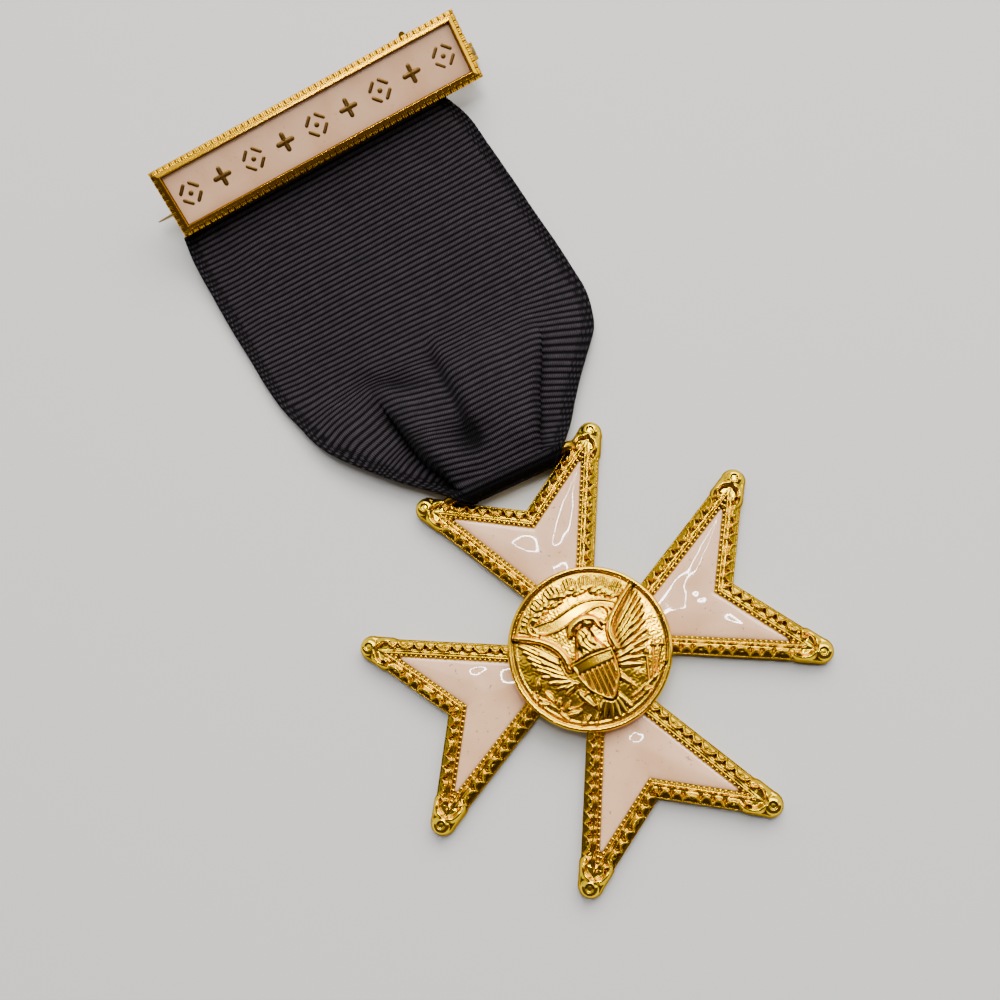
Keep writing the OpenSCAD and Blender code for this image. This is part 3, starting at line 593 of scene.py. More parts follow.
def slab(outline, low, high):
    """A flat outline given a thickness."""
    n = len(outline)
    outline = np.asarray(outline, float)
    points = np.vstack([np.c_[outline, np.full(n, low)], np.c_[outline, np.full(n, high)]])
    sides = [[i, (i + 1) % n, n + (i + 1) % n, n + i] for i in range(n)]
    return points, [list(range(n))[::-1], list(range(n, 2 * n))] + sides


side = np.array([ball_at - REACH * flank_in, ball_at - REACH * notch_in])
outline = [[0, 0], side[0], side[1], notch_at, side[1] * [-1, 1], side[0] * [-1, 1]]
parts = []
for number in range(len(ARMS)):
    # the undersides differ by a hair, so that no two of them lie in one plane
    points, faces = slab(outline, PLATE_STEP * number, PLATE_T)
    parts.append((turned(points, 90 * number), faces, one_mark(points, 0.3)))
points, faces, marks = merge(parts)
plate = piece("cross_plate", points, faces, cross_gilt, marks=marks, smooth=False)
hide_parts("cross_frame")

hub_profile = [[0, 0, 0.2], [0, HUB_R, 0.2], [HUB_TOP, HUB_R, 0.5], [HUB_TOP, 0, 0.5]]
points, faces, marks = lathe(hub_profile, 96)
made = piece("cross_hub", points, faces, cross_gilt, marks=marks, smooth=False)
print("hub stands", HUB_TOP, "mm high")

# %% [markdown]
# The suspension bar is a round bar from one shell lobe of the top arm to the other. Straight ends
# would stand above the lobes, so its line dips near both ends and is lost under the shells.

# %% Suspension bar
SUSP_R, SUSP_Y, SUSP_Z = 0.55, ball_at[1] - 0.6, 1.85
SUSP_STEPS, SUSP_SIDES, SUSP_DIP = 40, 24, 0.8

angle = around(SUSP_SIDES)
x = np.linspace(-lobe_at[0], lobe_at[0], SUSP_STEPS)[:, None]
line_z = SUSP_Z - SUSP_DIP * ease(7.1, 8.3, np.abs(x))
points = np.stack(np.broadcast_arrays(
    x, SUSP_Y + SUSP_R * np.cos(angle), line_z + SUSP_R * np.sin(angle)), -1)
# the whole bar is painted darker, as shade where it lies under the shells
made = piece("suspension_bar", points, grid_faces(SUSP_STEPS, SUSP_SIDES, True), cross_gilt,
             marks=one_mark(points, 0.8))
print("suspension bar is", round(2 * lobe_at[0], 1), "mm long")

# %% [markdown]
# ## Beads
# A line of tiny beads stands between the border and the enamel. They are set out along the inner
# edge of the moulding at an even pitch, and each is a small ball with a low number of sides.

# %% Bead rows
BEAD_R, BEAD_PITCH, BEAD_INSET, BEAD_Z = 0.19, 0.54, 1.76, 1.48
BEAD_RINGS, BEAD_SIDES = 8, 14


def along(a, b, pitch):
    """Evenly spaced points from a to b."""
    count = max(2, int(round(np.linalg.norm(b - a) / pitch)) + 1)
    return a + (b - a) * np.linspace(0, 1, count)[:, None]


corner = tip_corner(BEAD_INSET)
foot = 7.9 * flank_run + BEAD_INSET * flank_in
notch_bead = notch_at + [0, -BEAD_INSET / math.cos(SLOPE)]
row = np.vstack([along(foot, corner, BEAD_PITCH)[:-1], along(corner, notch_bead, BEAD_PITCH)])
row = np.vstack([row, row[:-1] * [-1, 1]])

# one ball, from a little under its middle up to its top
up = np.linspace(-0.4, 1, BEAD_RINGS)[:, None] * np.pi / 2
ring = around(BEAD_SIDES)
ball = np.stack(np.broadcast_arrays(np.cos(up) * np.cos(ring), np.cos(up) * np.sin(ring), np.sin(up)), -1)
ball = ball.reshape(-1, 3)
ball_faces = grid_faces(BEAD_RINGS, BEAD_SIDES, True)
rng = np.random.default_rng(7)
for number, name in enumerate(ARMS):
    centres = turned(np.c_[row, np.full(len(row), BEAD_Z)], 90 * number)
    size = BEAD_R * rng.uniform(0.86, 1.06, len(row))
    points = centres[:, None] + ball * size[:, None, None]
    faces = (ball_faces + np.arange(len(row))[:, None, None] * len(ball)).reshape(-1, 4)
    # painted shade: each bead is darker on its lower half and lighter on top
    low = np.clip(0.95 - 1.1 * (points[..., 2] - BEAD_Z) / BEAD_R, 0, 1)
    made = piece("beads_" + name, points, faces, cross_gilt, marks={"dirt_and_shade": low})
print("beads:", len(ARMS) * len(row))

# %% [markdown]
# ## Enamel cells
# Melted enamel pulls into a low dome, and its surface is never quite even. Half a cell is a
# four-sided patch, so a grid can be stretched over it by mixing its corners. Height follows the
# distance from the nearest edge, plus a few soft hills that bend the reflections into loops.

# %% Domed enamel
CELL_EDGE_Z, DOME, UNDER = 1.34, 0.42, 0.95
CELL_ROWS, CELL_COLUMNS = 70, 44
ROOT_Y, CELL_INSET = 7.75, BORDER_W - 0.02
# columns: x, y, height, radius of a soft hill, for each arm
HILLS = {
    "top": [[1.5, 11.8, 0.10, 1.5], [-3.2, 13.4, 0.08, 1.8], [4.4, 15.4, -0.06, 1.4],
            [-0.5, 9.6, -0.06, 1.3]],
    "right": [[0.6, 10.6, 0.11, 1.5], [2.8, 13.2, -0.10, 1.2], [-3.4, 14.0, 0.10, 1.6],
              [5.2, 16.4, 0.07, 1.5], [-1.2, 12.4, -0.08, 1.0]],
    "bottom": [[-0.6, 9.6, -0.10, 0.85], [3.4, 13.0, 0.04, 2.4], [-4.4, 15.0, 0.03, 2.2]],
    "left": [[0.3, 10.6, 0.09, 1.9], [3.0, 13.0, 0.09, 1.5], [-4.0, 14.4, -0.04, 2.0],
             [1.6, 11.6, -0.07, 1.0]]}

flank_root = ROOT_Y * flank_run + CELL_INSET * flank_in
corner, mid = tip_corner(CELL_INSET), notch_at + [0, -CELL_INSET / math.cos(SLOPE)]
root = np.array([0, ROOT_Y])
u = np.linspace(0, 1, CELL_ROWS)[:, None, None]
v = np.linspace(0, 1, CELL_COLUMNS)[None, :, None]
patch = (1 - u) * ((1 - v) * flank_root + v * root) + u * ((1 - v) * corner + v * mid)
patch = np.concatenate([patch, patch[:, -2::-1] * [-1, 1]], 1)
x, y = patch[..., 0], patch[..., 1]
folded = np.dstack([np.abs(x), y])
away = np.stack([folded @ flank_in, (folded - notch_at) @ notch_in], -1) - CELL_INSET
near = -0.25 * np.log(np.exp(-away / 0.25).sum(-1))
far = np.clip(near, 0, None)
rise = 0.42 * (1 - np.exp(-far / 0.22)) + 0.75 * (1 - np.exp(-far / 1.7))
for number, name in enumerate(ARMS):
    z = CELL_EDGE_Z + DOME * rise
    for hx, hy, high, wide in HILLS[name]:
        z = z + high * rise * np.exp(-((x - hx) ** 2 + (y - hy) ** 2) / wide**2)
    z = z + rise * 0.016 * np.sin(x * 1.3 + number) * np.sin(y * 1.1 - 2 * number)
    # the outermost points go down behind the border
    z = np.where(near < 0.004, UNDER, z)
    points = turned(np.dstack([patch, z]), 90 * number)
    made = piece("enamel_dome_" + name, points, grid_faces(*x.shape)[:, ::-1], cell_enamel)
    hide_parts("enamel_" + name)
print("enamel stands", round(float(z.max()), 2), "mm above the back of the cross")

# %% [markdown]
# ## The brooch bar's own frame
# The bar leans up on its pin, so it is built flat and then turned into place. `on_bar` does that for
# any list of points. Local X runs along the bar, Y across it and Z out of its enamel.

# %% Turn things onto the bar
BAR_W, BAR_H, BAND, BAR_T = 40.4, 8.2, 1.15, 1.4
BAR_TILT, BAR_YAW, BAR_X = 34.4, 3.15, -3.3
EAR_R, EAR_HALF, HINGE_X = 0.9, 1.05, BAR_W / 2 + 0.25
PIN_Y, PIN_Z = 3.08 - BAR_H / 2, -BAR_T - 3.8
RIBBON_SHOWN = 44.8

tilt = math.radians(BAR_TILT)
bar_axes = np.array(Matrix.Rotation(math.radians(BAR_YAW), 3, "Z") @ Matrix.Rotation(tilt, 3, "X"))
# the bar's lower edge lies where the ribbon comes out, and its hinge ears stand on the table
bar_at = np.array([
    BAR_X, SUSP_Y + RIBBON_SHOWN + BAR_H / 2 * math.cos(tilt) - BAR_T * math.sin(tilt),
    EAR_HALF * math.sin(tilt) + EAR_R * math.cos(tilt) - PIN_Y * math.sin(tilt) - PIN_Z * math.cos(tilt)])


def on_bar(points):
    """Points of the bar's own frame, in the frame of the whole jewel."""
    return np.asarray(points, float).reshape(-1, 3) @ bar_axes.T + bar_at


print("the bar's middle is at", bar_at.round(2))

# %% [markdown]
# ## The ribbon
# The ribbon is one strip. It starts behind the bar, loops over a wire, runs down the front and loops
# under the suspension bar. We describe that path once, as stations with a place, a height and edges.
# The front has a table of its edges and creases, read at equal material lengths. A drawn table fits
# here better than a cloth simulation, because the photograph fixes where each fold lies.

# %% Path and outline of the ribbon
# columns: share of the way up, left edge, right edge, left crease, right crease, side height, raise
FRONT = np.array([
    [0.00, -0.182, 0.176, -0.135, 0.105, 2.00, 0.00], [0.02, -0.202, 0.196, -0.150, 0.108, 1.62, 0.36],
    [0.05, -0.240, 0.226, -0.158, 0.113, 1.28, 0.84], [0.10, -0.308, 0.268, -0.184, 0.137, 1.20, 0.97],
    [0.15, -0.366, 0.313, -0.203, 0.158, 1.18, 0.86], [0.20, -0.421, 0.363, -0.216, 0.189, 1.12, 0.70],
    [0.25, -0.468, 0.411, -0.236, 0.224, 0.98, 0.60], [0.30, -0.500, 0.432, -0.258, 0.256, 0.82, 0.44],
    [0.35, -0.521, 0.442, -0.276, 0.263, 0.64, 0.20], [0.42, -0.550, 0.438, -0.285, 0.263, 0.47, 0.06],
    [0.50, -0.570, 0.429, -0.290, 0.260, 0.43, 0.00], [0.60, -0.587, 0.413, -0.295, 0.255, 0.43, 0.00],
    [0.72, -0.608, 0.395, -0.300, 0.250, 0.50, 0.00], [0.83, -0.622, 0.376, -0.305, 0.240, 0.70, 0.00],
    [0.93, -0.632, 0.355, -0.310, 0.235, 1.02, 0.00], [1.00, -0.629, 0.318, -0.310, 0.230, 1.36, 0.00]])
RIBBON_W, CROWN = 38, 1.55
WRAP, ROD_WRAP = 1.25, 0.9
DOWN_STEPS, BACK_TAIL = 121, 8


def curve(u, keys, values):
    """A smooth curve through a table's points."""
    slope = np.gradient(values, keys)
    i = np.clip(np.searchsorted(keys, u) - 1, 0, len(keys) - 2)
    h = keys[i + 1] - keys[i]
    t = (u - keys[i]) / h
    return ((2 * t**3 - 3 * t**2 + 1) * values[i] + (t**3 - 2 * t**2 + t) * h * slope[i]
            + (3 * t**2 - 2 * t**3) * values[i + 1] + (t**3 - t**2) * h * slope[i + 1])


def front(column, u):
    """A column of the front's table at a share of the way up."""
    return curve(np.asarray(u, float), FRONT[:, 0], FRONT[:, column])


def edges_at(u):
    """Left and right edge, left and right crease, in millimetres."""
    return [front(column, u) * RIBBON_W for column in (1, 2, 3, 4)]


print("rows in the front's table:", len(FRONT))

# %% [markdown]
# Behind the bar the ribbon wraps round its wire. The wire's place follows from the bar's frame, and
# the upper edge of the front follows from the wire.

# %% Where the wire lies
def wrapped(y, z, radius, degrees):
    """Where the path is when it faces away from a wire at an angle."""
    a = np.radians(degrees)
    return y + radius * np.cos(a), z + radius * np.sin(a)


def stations_of(y, z, yaw, edges, lift=0, u=0):
    """Rows of the path: place, yaw, the four edges, raise and share of the way up."""
    return np.stack(np.broadcast_arrays(y, z, yaw, *edges, lift, u), 1).astype(float)


rod_local = np.array([0, -BAR_H / 2 + 0.75, -BAR_T - 1.5])
rod_y, rod_z = on_bar(rod_local)[0][1:]
top_y, top_z = wrapped(rod_y, rod_z, ROD_WRAP, 90 + BAR_TILT)
edge_y = top_y - (rod_local[1] + BAR_H / 2) * math.cos(tilt)
edge_z = top_z - (rod_local[1] + BAR_H / 2) * math.sin(tilt)

_, right, crease_l, crease_r = edges_at(1)
rod_edges = [BAR_X - BAR_W / 2 + 0.8, right - 0.4, crease_l, crease_r]
print("the ribbon's wire is at", rod_y.round(2), rod_z.round(2))

# %% [markdown]
# The five stretches of the path, in order: the tail behind the bar, half a turn over the wire, the
# front, half a turn under the suspension bar and the tail behind the cross.

# %% Stations of the path
tail = np.linspace(1, 0.1, 6)
behind = stations_of(rod_y - 3.4 * tail, rod_z - ROD_WRAP * (1 - tail) - (rod_z - 0.65) * tail,
                     BAR_YAW, rod_edges, 0, 1)
spin = np.linspace(-90, 90 + BAR_TILT, 15)
over = stations_of(*wrapped(rod_y, rod_z, ROD_WRAP, spin), BAR_YAW, rod_edges, 0, 1)

u = np.linspace(1, 0, DOWN_STEPS)
height = (front(5, u) * CROWN + (SUSP_Z + WRAP - front(5, 0) * CROWN) * ease(-0.1, 0, -u)
          + (edge_z - front(5, 1) * CROWN) * ease(0.75, 1, u))
down = stations_of(SUSP_Y + u * (edge_y - SUSP_Y), height, BAR_YAW * ease(0.2, 0.9, u), edges_at(u),
                   front(6, u) * CROWN, u)

spin = np.linspace(90, 270, 17)[1:]
narrow = 1 - 0.3 * np.sin(np.radians(spin - 90)) ** 2
under = stations_of(*wrapped(SUSP_Y, SUSP_Z, WRAP, spin), 0, [e * narrow for e in edges_at(0)])
tail = BACK_TAIL * np.linspace(0.1, 1, 8)
ends = [0.85 * e for e in edges_at(tail / RIBBON_SHOWN)]
back = stations_of(SUSP_Y + tail, SUSP_Z - WRAP, 0, ends)

stations = np.vstack([behind, over, down, under, back])
length = np.concatenate([[0], np.cumsum(np.hypot(*np.diff(stations[:, :2], axis=0).T))])
first_down = len(behind) + len(over)
front_from, front_to = length[first_down], length[first_down + DOWN_STEPS - 1]
print("the ribbon is", round(length[-1], 1), "mm long")

# %% [markdown]
# Each point of the ribbon has a length along it and a share across it. At the two creases the cloth
# turns back under itself like a letter S. Higher up, as `open_up` grows to 1, the folds open into soft
# steps. Over all this lie the gathers, each a bell: a long groove and a hollow near the foot, soft
# ridges beside them, and a last hollow where the left fold opens.

# %% Folds of the ribbon
# shares of the width where the left and the right fold start and end
LEFT_FROM, LEFT_TO, RIGHT_FROM, RIGHT_TO = 0.325, 0.35, 0.895, 0.92


def across_ribbon(s, p):
    """Positions of the cloth's middle for lengths s and shares p."""
    y, z, yaw, left, right, crease_l, crease_r, lift, u = (np.interp(s, length, c) for c in stations.T)
    up_here = ease(front_from, front_from + 1, s) * ease(front_to, front_to - 1, s)
    # how far the cloth turns back at a crease, at shares of the way up
    turn_in = up_here * np.interp(
        u, [0, 0.05, 0.1, 0.2, 0.25, 0.30, 0.34], [0.3, 0.55, 0.85, 0.95, 0.6, 0.15, 0])
    half = np.interp(u, [0, 0.3, 1], [0.22, 0.3, 0.45])
    fold_l = np.clip((p - LEFT_FROM) / (LEFT_TO - LEFT_FROM), 0, 1)
    fold_r = np.clip((p - RIGHT_FROM) / (RIGHT_TO - RIGHT_FROM), 0, 1)
    middle_w = crease_r - crease_l - 2 * half
    x = np.select(
        [p < LEFT_FROM, p < LEFT_TO, p < RIGHT_FROM, p < RIGHT_TO],
        [left + (crease_l - half - left) * p / LEFT_FROM,
         crease_l + half * (2 * fold_l - 1) + turn_in * np.sin(2 * np.pi * fold_l),
         crease_l + half + middle_w * (p - LEFT_TO) / (RIGHT_FROM - LEFT_TO),
         crease_r + half * (2 * fold_r - 1) + turn_in * np.sin(2 * np.pi * fold_r)],
        crease_r + half + (right - crease_r - half) * (p - RIGHT_TO) / (1 - RIGHT_TO))
    open_up = ease(0.24, 0.34, u)
    raised_l = (1 - open_up) * ease(0, 1, fold_l) + open_up * ease(-1.6, 1.6, x - crease_l)
    raised_r = (1 - open_up) * ease(0, 1, fold_r) + open_up * ease(-1.2, 1.2, x - crease_r)
    z = z + lift * (raised_l - raised_r)
    # dents and ridges of the gathers
    by_l = x - crease_l
    gathered = up_here * ease(0.42, 0.3, u)
    z = z - 0.48 * gathered * ease(0.14, 0.22, u) * bell(x + 2.1 + 2.5 * (u - 0.3), 0.9)
    z = z - 0.62 * up_here * bell(x + 2.2, 2.1, u - 0.12, 0.05)
    z = z + 0.34 * up_here * bell(by_l - 1.5, 1.1) * ease(0.5, 0.34, u) * ease(0.0, 0.12, u)
    z = z + 0.22 * up_here * bell(x - 3.2, 1.6) * ease(0.46, 0.3, u) * ease(0.0, 0.1, u)
    z = z + 0.18 * up_here * bell(by_l + 5.0, 1.6) * ease(0.12, 0.2, u) * ease(0.45, 0.32, u)
    z = z - 0.5 * up_here * bell(by_l - 2.6, 2.8, u - 0.385 + 0.012 * by_l, 0.035)
    z = z + 0.10 * up_here * np.sin(x * 0.42 + 1.0) * np.sin(u * 9) * ease(1, 0.85, u) * ease(0, 0.3, u)
    yaw = np.radians(yaw)
    y = y + (x - BAR_X) * np.sin(yaw)
    x = BAR_X + (x - BAR_X) * np.cos(yaw)
    return np.stack([x, y, z], -1), x, u, crease_l, crease_r, up_here


print("the folds stand highest at", FRONT[FRONT[:, 6].argmax(), 0], "of the way up")

# %% [markdown]
# Ribs are lines of equal length, so the grid has six rows to a rib, and its columns crowd at the
# selvedges and the creases. Near the folds the ribs droop. We shift the length that a point is read
# at, by `droop`. `beyond` says how far a point is past a crease, with a bend that is rounder where a
# fold begins. A small random wander keeps the ribs from being ruled lines.

# %% Grid of the cloth
RIB_PITCH, RIB_HIGH, CLOTH = 0.67, 0.16, 0.34
RIB_ROWS = 6
edge_step = np.array([0, 0.10, 0.2, 0.32, 0.44, 0.56, 0.68, 0.82, 1.0, 1.25]) / RIBBON_W
share = np.concatenate([
    edge_step, np.linspace(0.036, LEFT_FROM, 22), np.linspace(LEFT_FROM, LEFT_TO, 15)[1:],
    np.linspace(LEFT_TO, RIGHT_FROM, 40)[1:], np.linspace(RIGHT_FROM, RIGHT_TO, 15)[1:],
    np.linspace(RIGHT_TO, 0.962, 5)[1:], 1 - edge_step[::-1]])
# the underside takes every second column, so their number has to be odd
share = share if len(share) % 2 else np.delete(share, 30)
columns = len(share)
row_total = int(length[-1] / RIB_PITCH) * RIB_ROWS + 1

S, P = np.meshgrid(np.linspace(0, length[-1], row_total), share, indexing="ij")
_, x, u, crease_l, crease_r, up_here = across_ribbon(S, P)
bend_r = 0.1 + 1.7 * ease(0.22, 0.32, u)


def beyond(v):
    """0 for negative v and v for positive v, with a bend between that is rounder where a fold starts."""
    return 0.5 * (v + np.sqrt(v * v + bend_r * bend_r) - bend_r)


droop = ease(0.47, 0.3, u) * up_here * (
    -0.33 * beyond(crease_l - x) + 0.22 * np.clip(-2.2 - np.maximum(x, crease_l), 0, None)
    - 0.34 * beyond(x - crease_r))
droop = droop - 0.7 * ease(-1.0, -3.0, x) * ease(0.46, 0.38, u) * ease(0.12, 0.2, u)
rng = np.random.default_rng(3)
wander = np.interp(P * 9, np.arange(10), rng.normal(0, 0.05, 10)) * np.sin(S * 0.35) * up_here
middle, x, u, *_ = across_ribbon(np.clip(S - droop + wander, 0, length[-1]), P)
normal = np.cross(np.gradient(middle, axis=0), np.gradient(middle, axis=1))
normal /= np.linalg.norm(normal, axis=-1, keepdims=True) + 1e-9
print("grid of the cloth:", row_total, "rows and", columns, "columns")

# %% [markdown]
# A rib is a round cord under the silk, so its section is a row of arches. Both selvedges have a
# thicker cord and small loops of thread. `valley` darkens what the light does not reach: the hollows
# beside the folds, and the cloth's roll under the suspension bar.

# %% Ribs and selvedges
CORD_IN, CORD_HALF, LOOP = 0.25, 0.2, 0.42

reached = np.cumsum(np.linalg.norm(np.diff(middle, axis=1, prepend=middle[:, :1]), axis=-1), axis=1)
from_edge = np.minimum(reached, reached[:, -1:] - reached)
reached = reached - reached[:, columns // 2 : columns // 2 + 1] + RIBBON_W / 2
phase = S / RIB_PITCH
profile = np.sqrt(np.abs(np.sin(np.pi * phase)))
cord = bell(from_edge - CORD_IN, CORD_HALF)
lace = 0.5 + 0.5 * np.cos(2 * np.pi * from_edge / LOOP + np.pi * np.floor(phase)) * ease(1.5, 1.2, from_edge)
profile = profile * (1 - 0.36 * (1 - lace) * ease(1.6, 1.3, from_edge))
rise = RIB_HIGH * profile * (1 + 0.5 * cord) + 0.05 * cord
by_l = x - crease_l
valley = up_here * (
    0.5 * bell(x + 2.1 + 2.5 * (u - 0.3), 0.8) * ease(0.44, 0.34, u) * ease(0.05, 0.14, u)
    + 0.6 * bell(x + 2.2, 2.0, u - 0.12, 0.05)
    + 0.45 * bell(by_l - 2.6, 2.8, u - 0.375 + 0.012 * by_l, 0.03)
    + 0.7 * bell(by_l + 0.7, 0.8) * ease(0.32, 0.24, u)
    + 0.4 * bell(x - crease_r - 0.6, 0.6) * ease(0.35, 0.26, u))
valley = valley + 0.9 * bell(S - front_to - 1.2, 1.3)
profile = profile * (1 - 0.5 * np.clip(valley, 0, 1))
top = middle + normal * (CLOTH / 2 + rise - RIB_HIGH / 2)[..., None]
bottom = (middle - normal * (CLOTH / 2))[::RIB_ROWS, ::2]
print("ribs:", row_total // RIB_ROWS)

# %% [markdown]
# The underside has one row to a rib and every second column. A face of many sides along each border
# joins its few points to the many of the upper side.

# %% Close the sheet
rows_b, columns_b = bottom.shape[:2]
first = row_total * columns
faces = grid_faces(row_total, columns)[:, ::-1].tolist()
faces += (grid_faces(rows_b, columns_b) + first).tolist()
for j in range(rows_b - 1):
    for column, column_b, flip in ((0, 0, False), (columns - 1, columns_b - 1, True)):
        rim = [(j * RIB_ROWS + k) * columns + column for k in range(RIB_ROWS + 1)]
        rim += [first + (j + 1) * columns_b + column_b, first + j * columns_b + column_b]
        faces.append(rim if flip else rim[::-1])
for j in range(columns_b - 1):
    for row, row_b, flip in ((0, 0, True), (row_total - 1, rows_b - 1, False)):
        rim = [row * columns + 2 * j + k for k in range(3)]
        rim += [first + row_b * columns_b + j + 1, first + row_b * columns_b + j]
        faces.append(rim if flip else rim[::-1])
marks = {
    "rib": np.concatenate([profile.ravel(), np.full(rows_b * columns_b, 0.75)]),
    "across": np.concatenate([reached.ravel(), reached[::RIB_ROWS, ::2].ravel()]),
    "along": np.concatenate([phase.ravel(), phase[::RIB_ROWS, ::2].ravel()])}
points = np.vstack([top.reshape(-1, 3), bottom.reshape(-1, 3)])
ribbon = piece("silk_ribbon", points, faces, silk_cloth, marks=marks)
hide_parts("ribbon")
print("ribbon faces:", len(ribbon.data.polygons))

# %% [markdown]
# ## The brooch bar
# Four lengths of milled moulding meet in mitres round a flat enamel panel. The milling is a function of
# the distance along the moulding: a deep narrow slot in every pitch and two fine lines between.

# %% Milled frame of the bar
# columns: inset, height
BAR_SECTION = np.array([
    [0.00, -1.40], [0.00, -0.05], [0.02, 0.07], [0.06, 0.14], [0.12, 0.19], [0.20, 0.24], [0.28, 0.28],
    [0.36, 0.32], [0.43, 0.35], [0.48, 0.36], [0.52, 0.355], [0.56, 0.37], [0.68, 0.42], [0.80, 0.47],
    [0.90, 0.51], [0.96, 0.53], [1.00, 0.54], [1.03, 0.53], [1.06, 0.48], [1.09, 0.40], [1.12, 0.26],
    [1.14, 0.05], [1.15, -0.60]])
MILL, MILL_STEP, MILL_DEEP = 0.81, 0.05, 0.26
hw, hh = BAR_W / 2, BAR_H / 2


def milled(side_length):
    """One side of the frame, in a frame of its own: X along, Y inward."""
    inset, plain = BAR_SECTION[:, 0], BAR_SECTION[:, 1]
    rows = int(side_length / MILL_STEP)
    t = inset + (side_length - 2 * inset) * np.linspace(0, 1, rows)[:, None]
    slot = bell((t / MILL) % 1 - 0.5, 0.07)
    lines = 0.5 - 0.5 * np.cos(2 * np.pi * 3 * (t / MILL) % (2 * np.pi))
    deep = ease(0.54, 0.48, inset) * (slot + 0.16 * lines * ease(0.0, 0.1, inset))
    z = plain - MILL_DEEP * deep * (plain > 0)
    y = inset + 0.10 * slot * np.where((inset < 0.1) & (plain > -1), 1, 0)
    # painted shade in the slots and fine lines of the milling, along the line where it ends and in the groove
    # beside the enamel
    dirt_and_shade = np.clip(deep + 0.9 * ease(1.02, 1.07, inset) + 0.35 * bell(inset - 0.50, 0.05), 0, 1)
    points = np.stack(np.broadcast_arrays(t, y, z), -1).reshape(-1, 3)
    return points, grid_faces(rows, len(inset)), {"dirt_and_shade": dirt_and_shade}


def side_at(length, corner, degrees):
    """A side turned about Z and set down at a corner of the bar."""
    points, faces, marks = milled(length)
    return turned(points, -degrees) + [*corner, 0], faces, marks


points, faces, marks = merge([
    side_at(BAR_W, (-hw, -hh), 0), side_at(BAR_W, (hw, hh), 180),
    side_at(BAR_H, (hw, -hh), 90), side_at(BAR_H, (-hw, hh), 270)])
frame_bar = piece("bar_moulding", on_bar(points), faces, bar_gilt, marks=marks)
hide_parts("bar_frame")
print("moulding faces:", len(frame_bar.data.polygons))

# %% [markdown]
# The back holds plain parts: a plate, two posts for the ribbon's wire, a trough that catches the pin
# and two hinge ears. Boxes and discs are enough for them.

# %% Back of the bar
SUNK, TAB_R, EYE_ROOM = -BAR_T + 0.05, 0.4, 0.55


def block(x0, x1, y0, y1, z0, z1):
    """A box between two corners."""
    return slab([[x0, y0], [x1, y0], [x1, y1], [x0, y1]], z0, z1)


def blocks_about(x, y, half, rows):
    """Boxes about a point. Rows are lowest and highest y from there, lowest and highest z."""
    return [block(x - half, x + half, y + y0, y + y1, z0, z1) for y0, y1, z0, z1 in rows]


def ear(y0, y1):
    """A hinge ear: a plate from the bar's back down to a round end about the rivet."""
    a = np.radians(np.linspace(180, 360, 19))
    round_end = np.c_[HINGE_X + EAR_R * np.cos(a), PIN_Z + EAR_R * np.sin(a)].tolist()
    rim = [[HINGE_X - EAR_R, -BAR_T + 0.1], *round_end, [hw - 0.06, -BAR_T - 0.9], [hw - 0.06, -BAR_T + 0.1]]
    points, faces = slab(rim, y0, y1)
    return points[:, [0, 2, 1]], [f[::-1] for f in faces]


_, rod_in_y, rod_in_z = rod_local
left_post, right_post = -hw + 0.25, 0.77 * hw
catch_low, post_low = PIN_Z - 0.75, rod_in_z - 0.7
catch_rows = [(-0.85, -0.5, catch_low, SUNK), (0.5, 0.85, catch_low, SUNK), (-0.85, 0.85, -BAR_T - 0.9, SUNK)]
post_rows = [(-0.73, -0.41, post_low, SUNK), (0.41, 0.73, post_low, SUNK),
             (-0.5, 0.5, rod_in_z + 0.41, SUNK), (-0.5, 0.5, post_low, rod_in_z - 0.41)]
backs = [
    block(-hw + BAND, hw - BAND, -hh + BAND, hh - BAND, -BAR_T, -0.7),
    *blocks_about(-0.88 * hw, PIN_Y, 0.8, catch_rows),
    block(HINGE_X - 2.7, HINGE_X - 0.35, PIN_Y - EAR_HALF, PIN_Y + EAR_HALF, -BAR_T - 0.5, SUNK),
    ear(PIN_Y - EAR_HALF, PIN_Y - EYE_ROOM), ear(PIN_Y + EYE_ROOM, PIN_Y + EAR_HALF),
    *blocks_about(left_post, rod_in_y, 0.35, post_rows),
    *blocks_about(right_post, rod_in_y, 0.35, post_rows)]
points, faces, marks = merge([(p, f, one_mark(p, 0.65)) for p, f in backs])
made = piece("bar_back", on_bar(points), faces, bar_gilt, marks=marks, smooth=False)

spin = around(16)
tab = np.c_[0.68 * hw + TAB_R * np.cos(spin), hh + 0.1 + TAB_R * np.sin(spin)]
points, faces = slab(tab, -BAR_T, -BAR_T + 0.5)
made = piece("bar_tab", on_bar(points), faces, bar_gilt, marks=one_mark(points, 0), smooth=False)
print("parts behind the bar:", len(backs) + 1)

# %% [markdown]
# The motif is a row of open lozenges and small crosses. Each stroke is a strip with round ends, raised
# a little above the enamel, with its edge rounded over.

# %% Raised motif
MOTIF_FOOT, MOTIF_TOP, BACK_STEP = -0.5, 0.07, 0.002
STROKE_HALF, CROSS_HALF, CROSS_ARM = 0.22, 0.3, 0.9


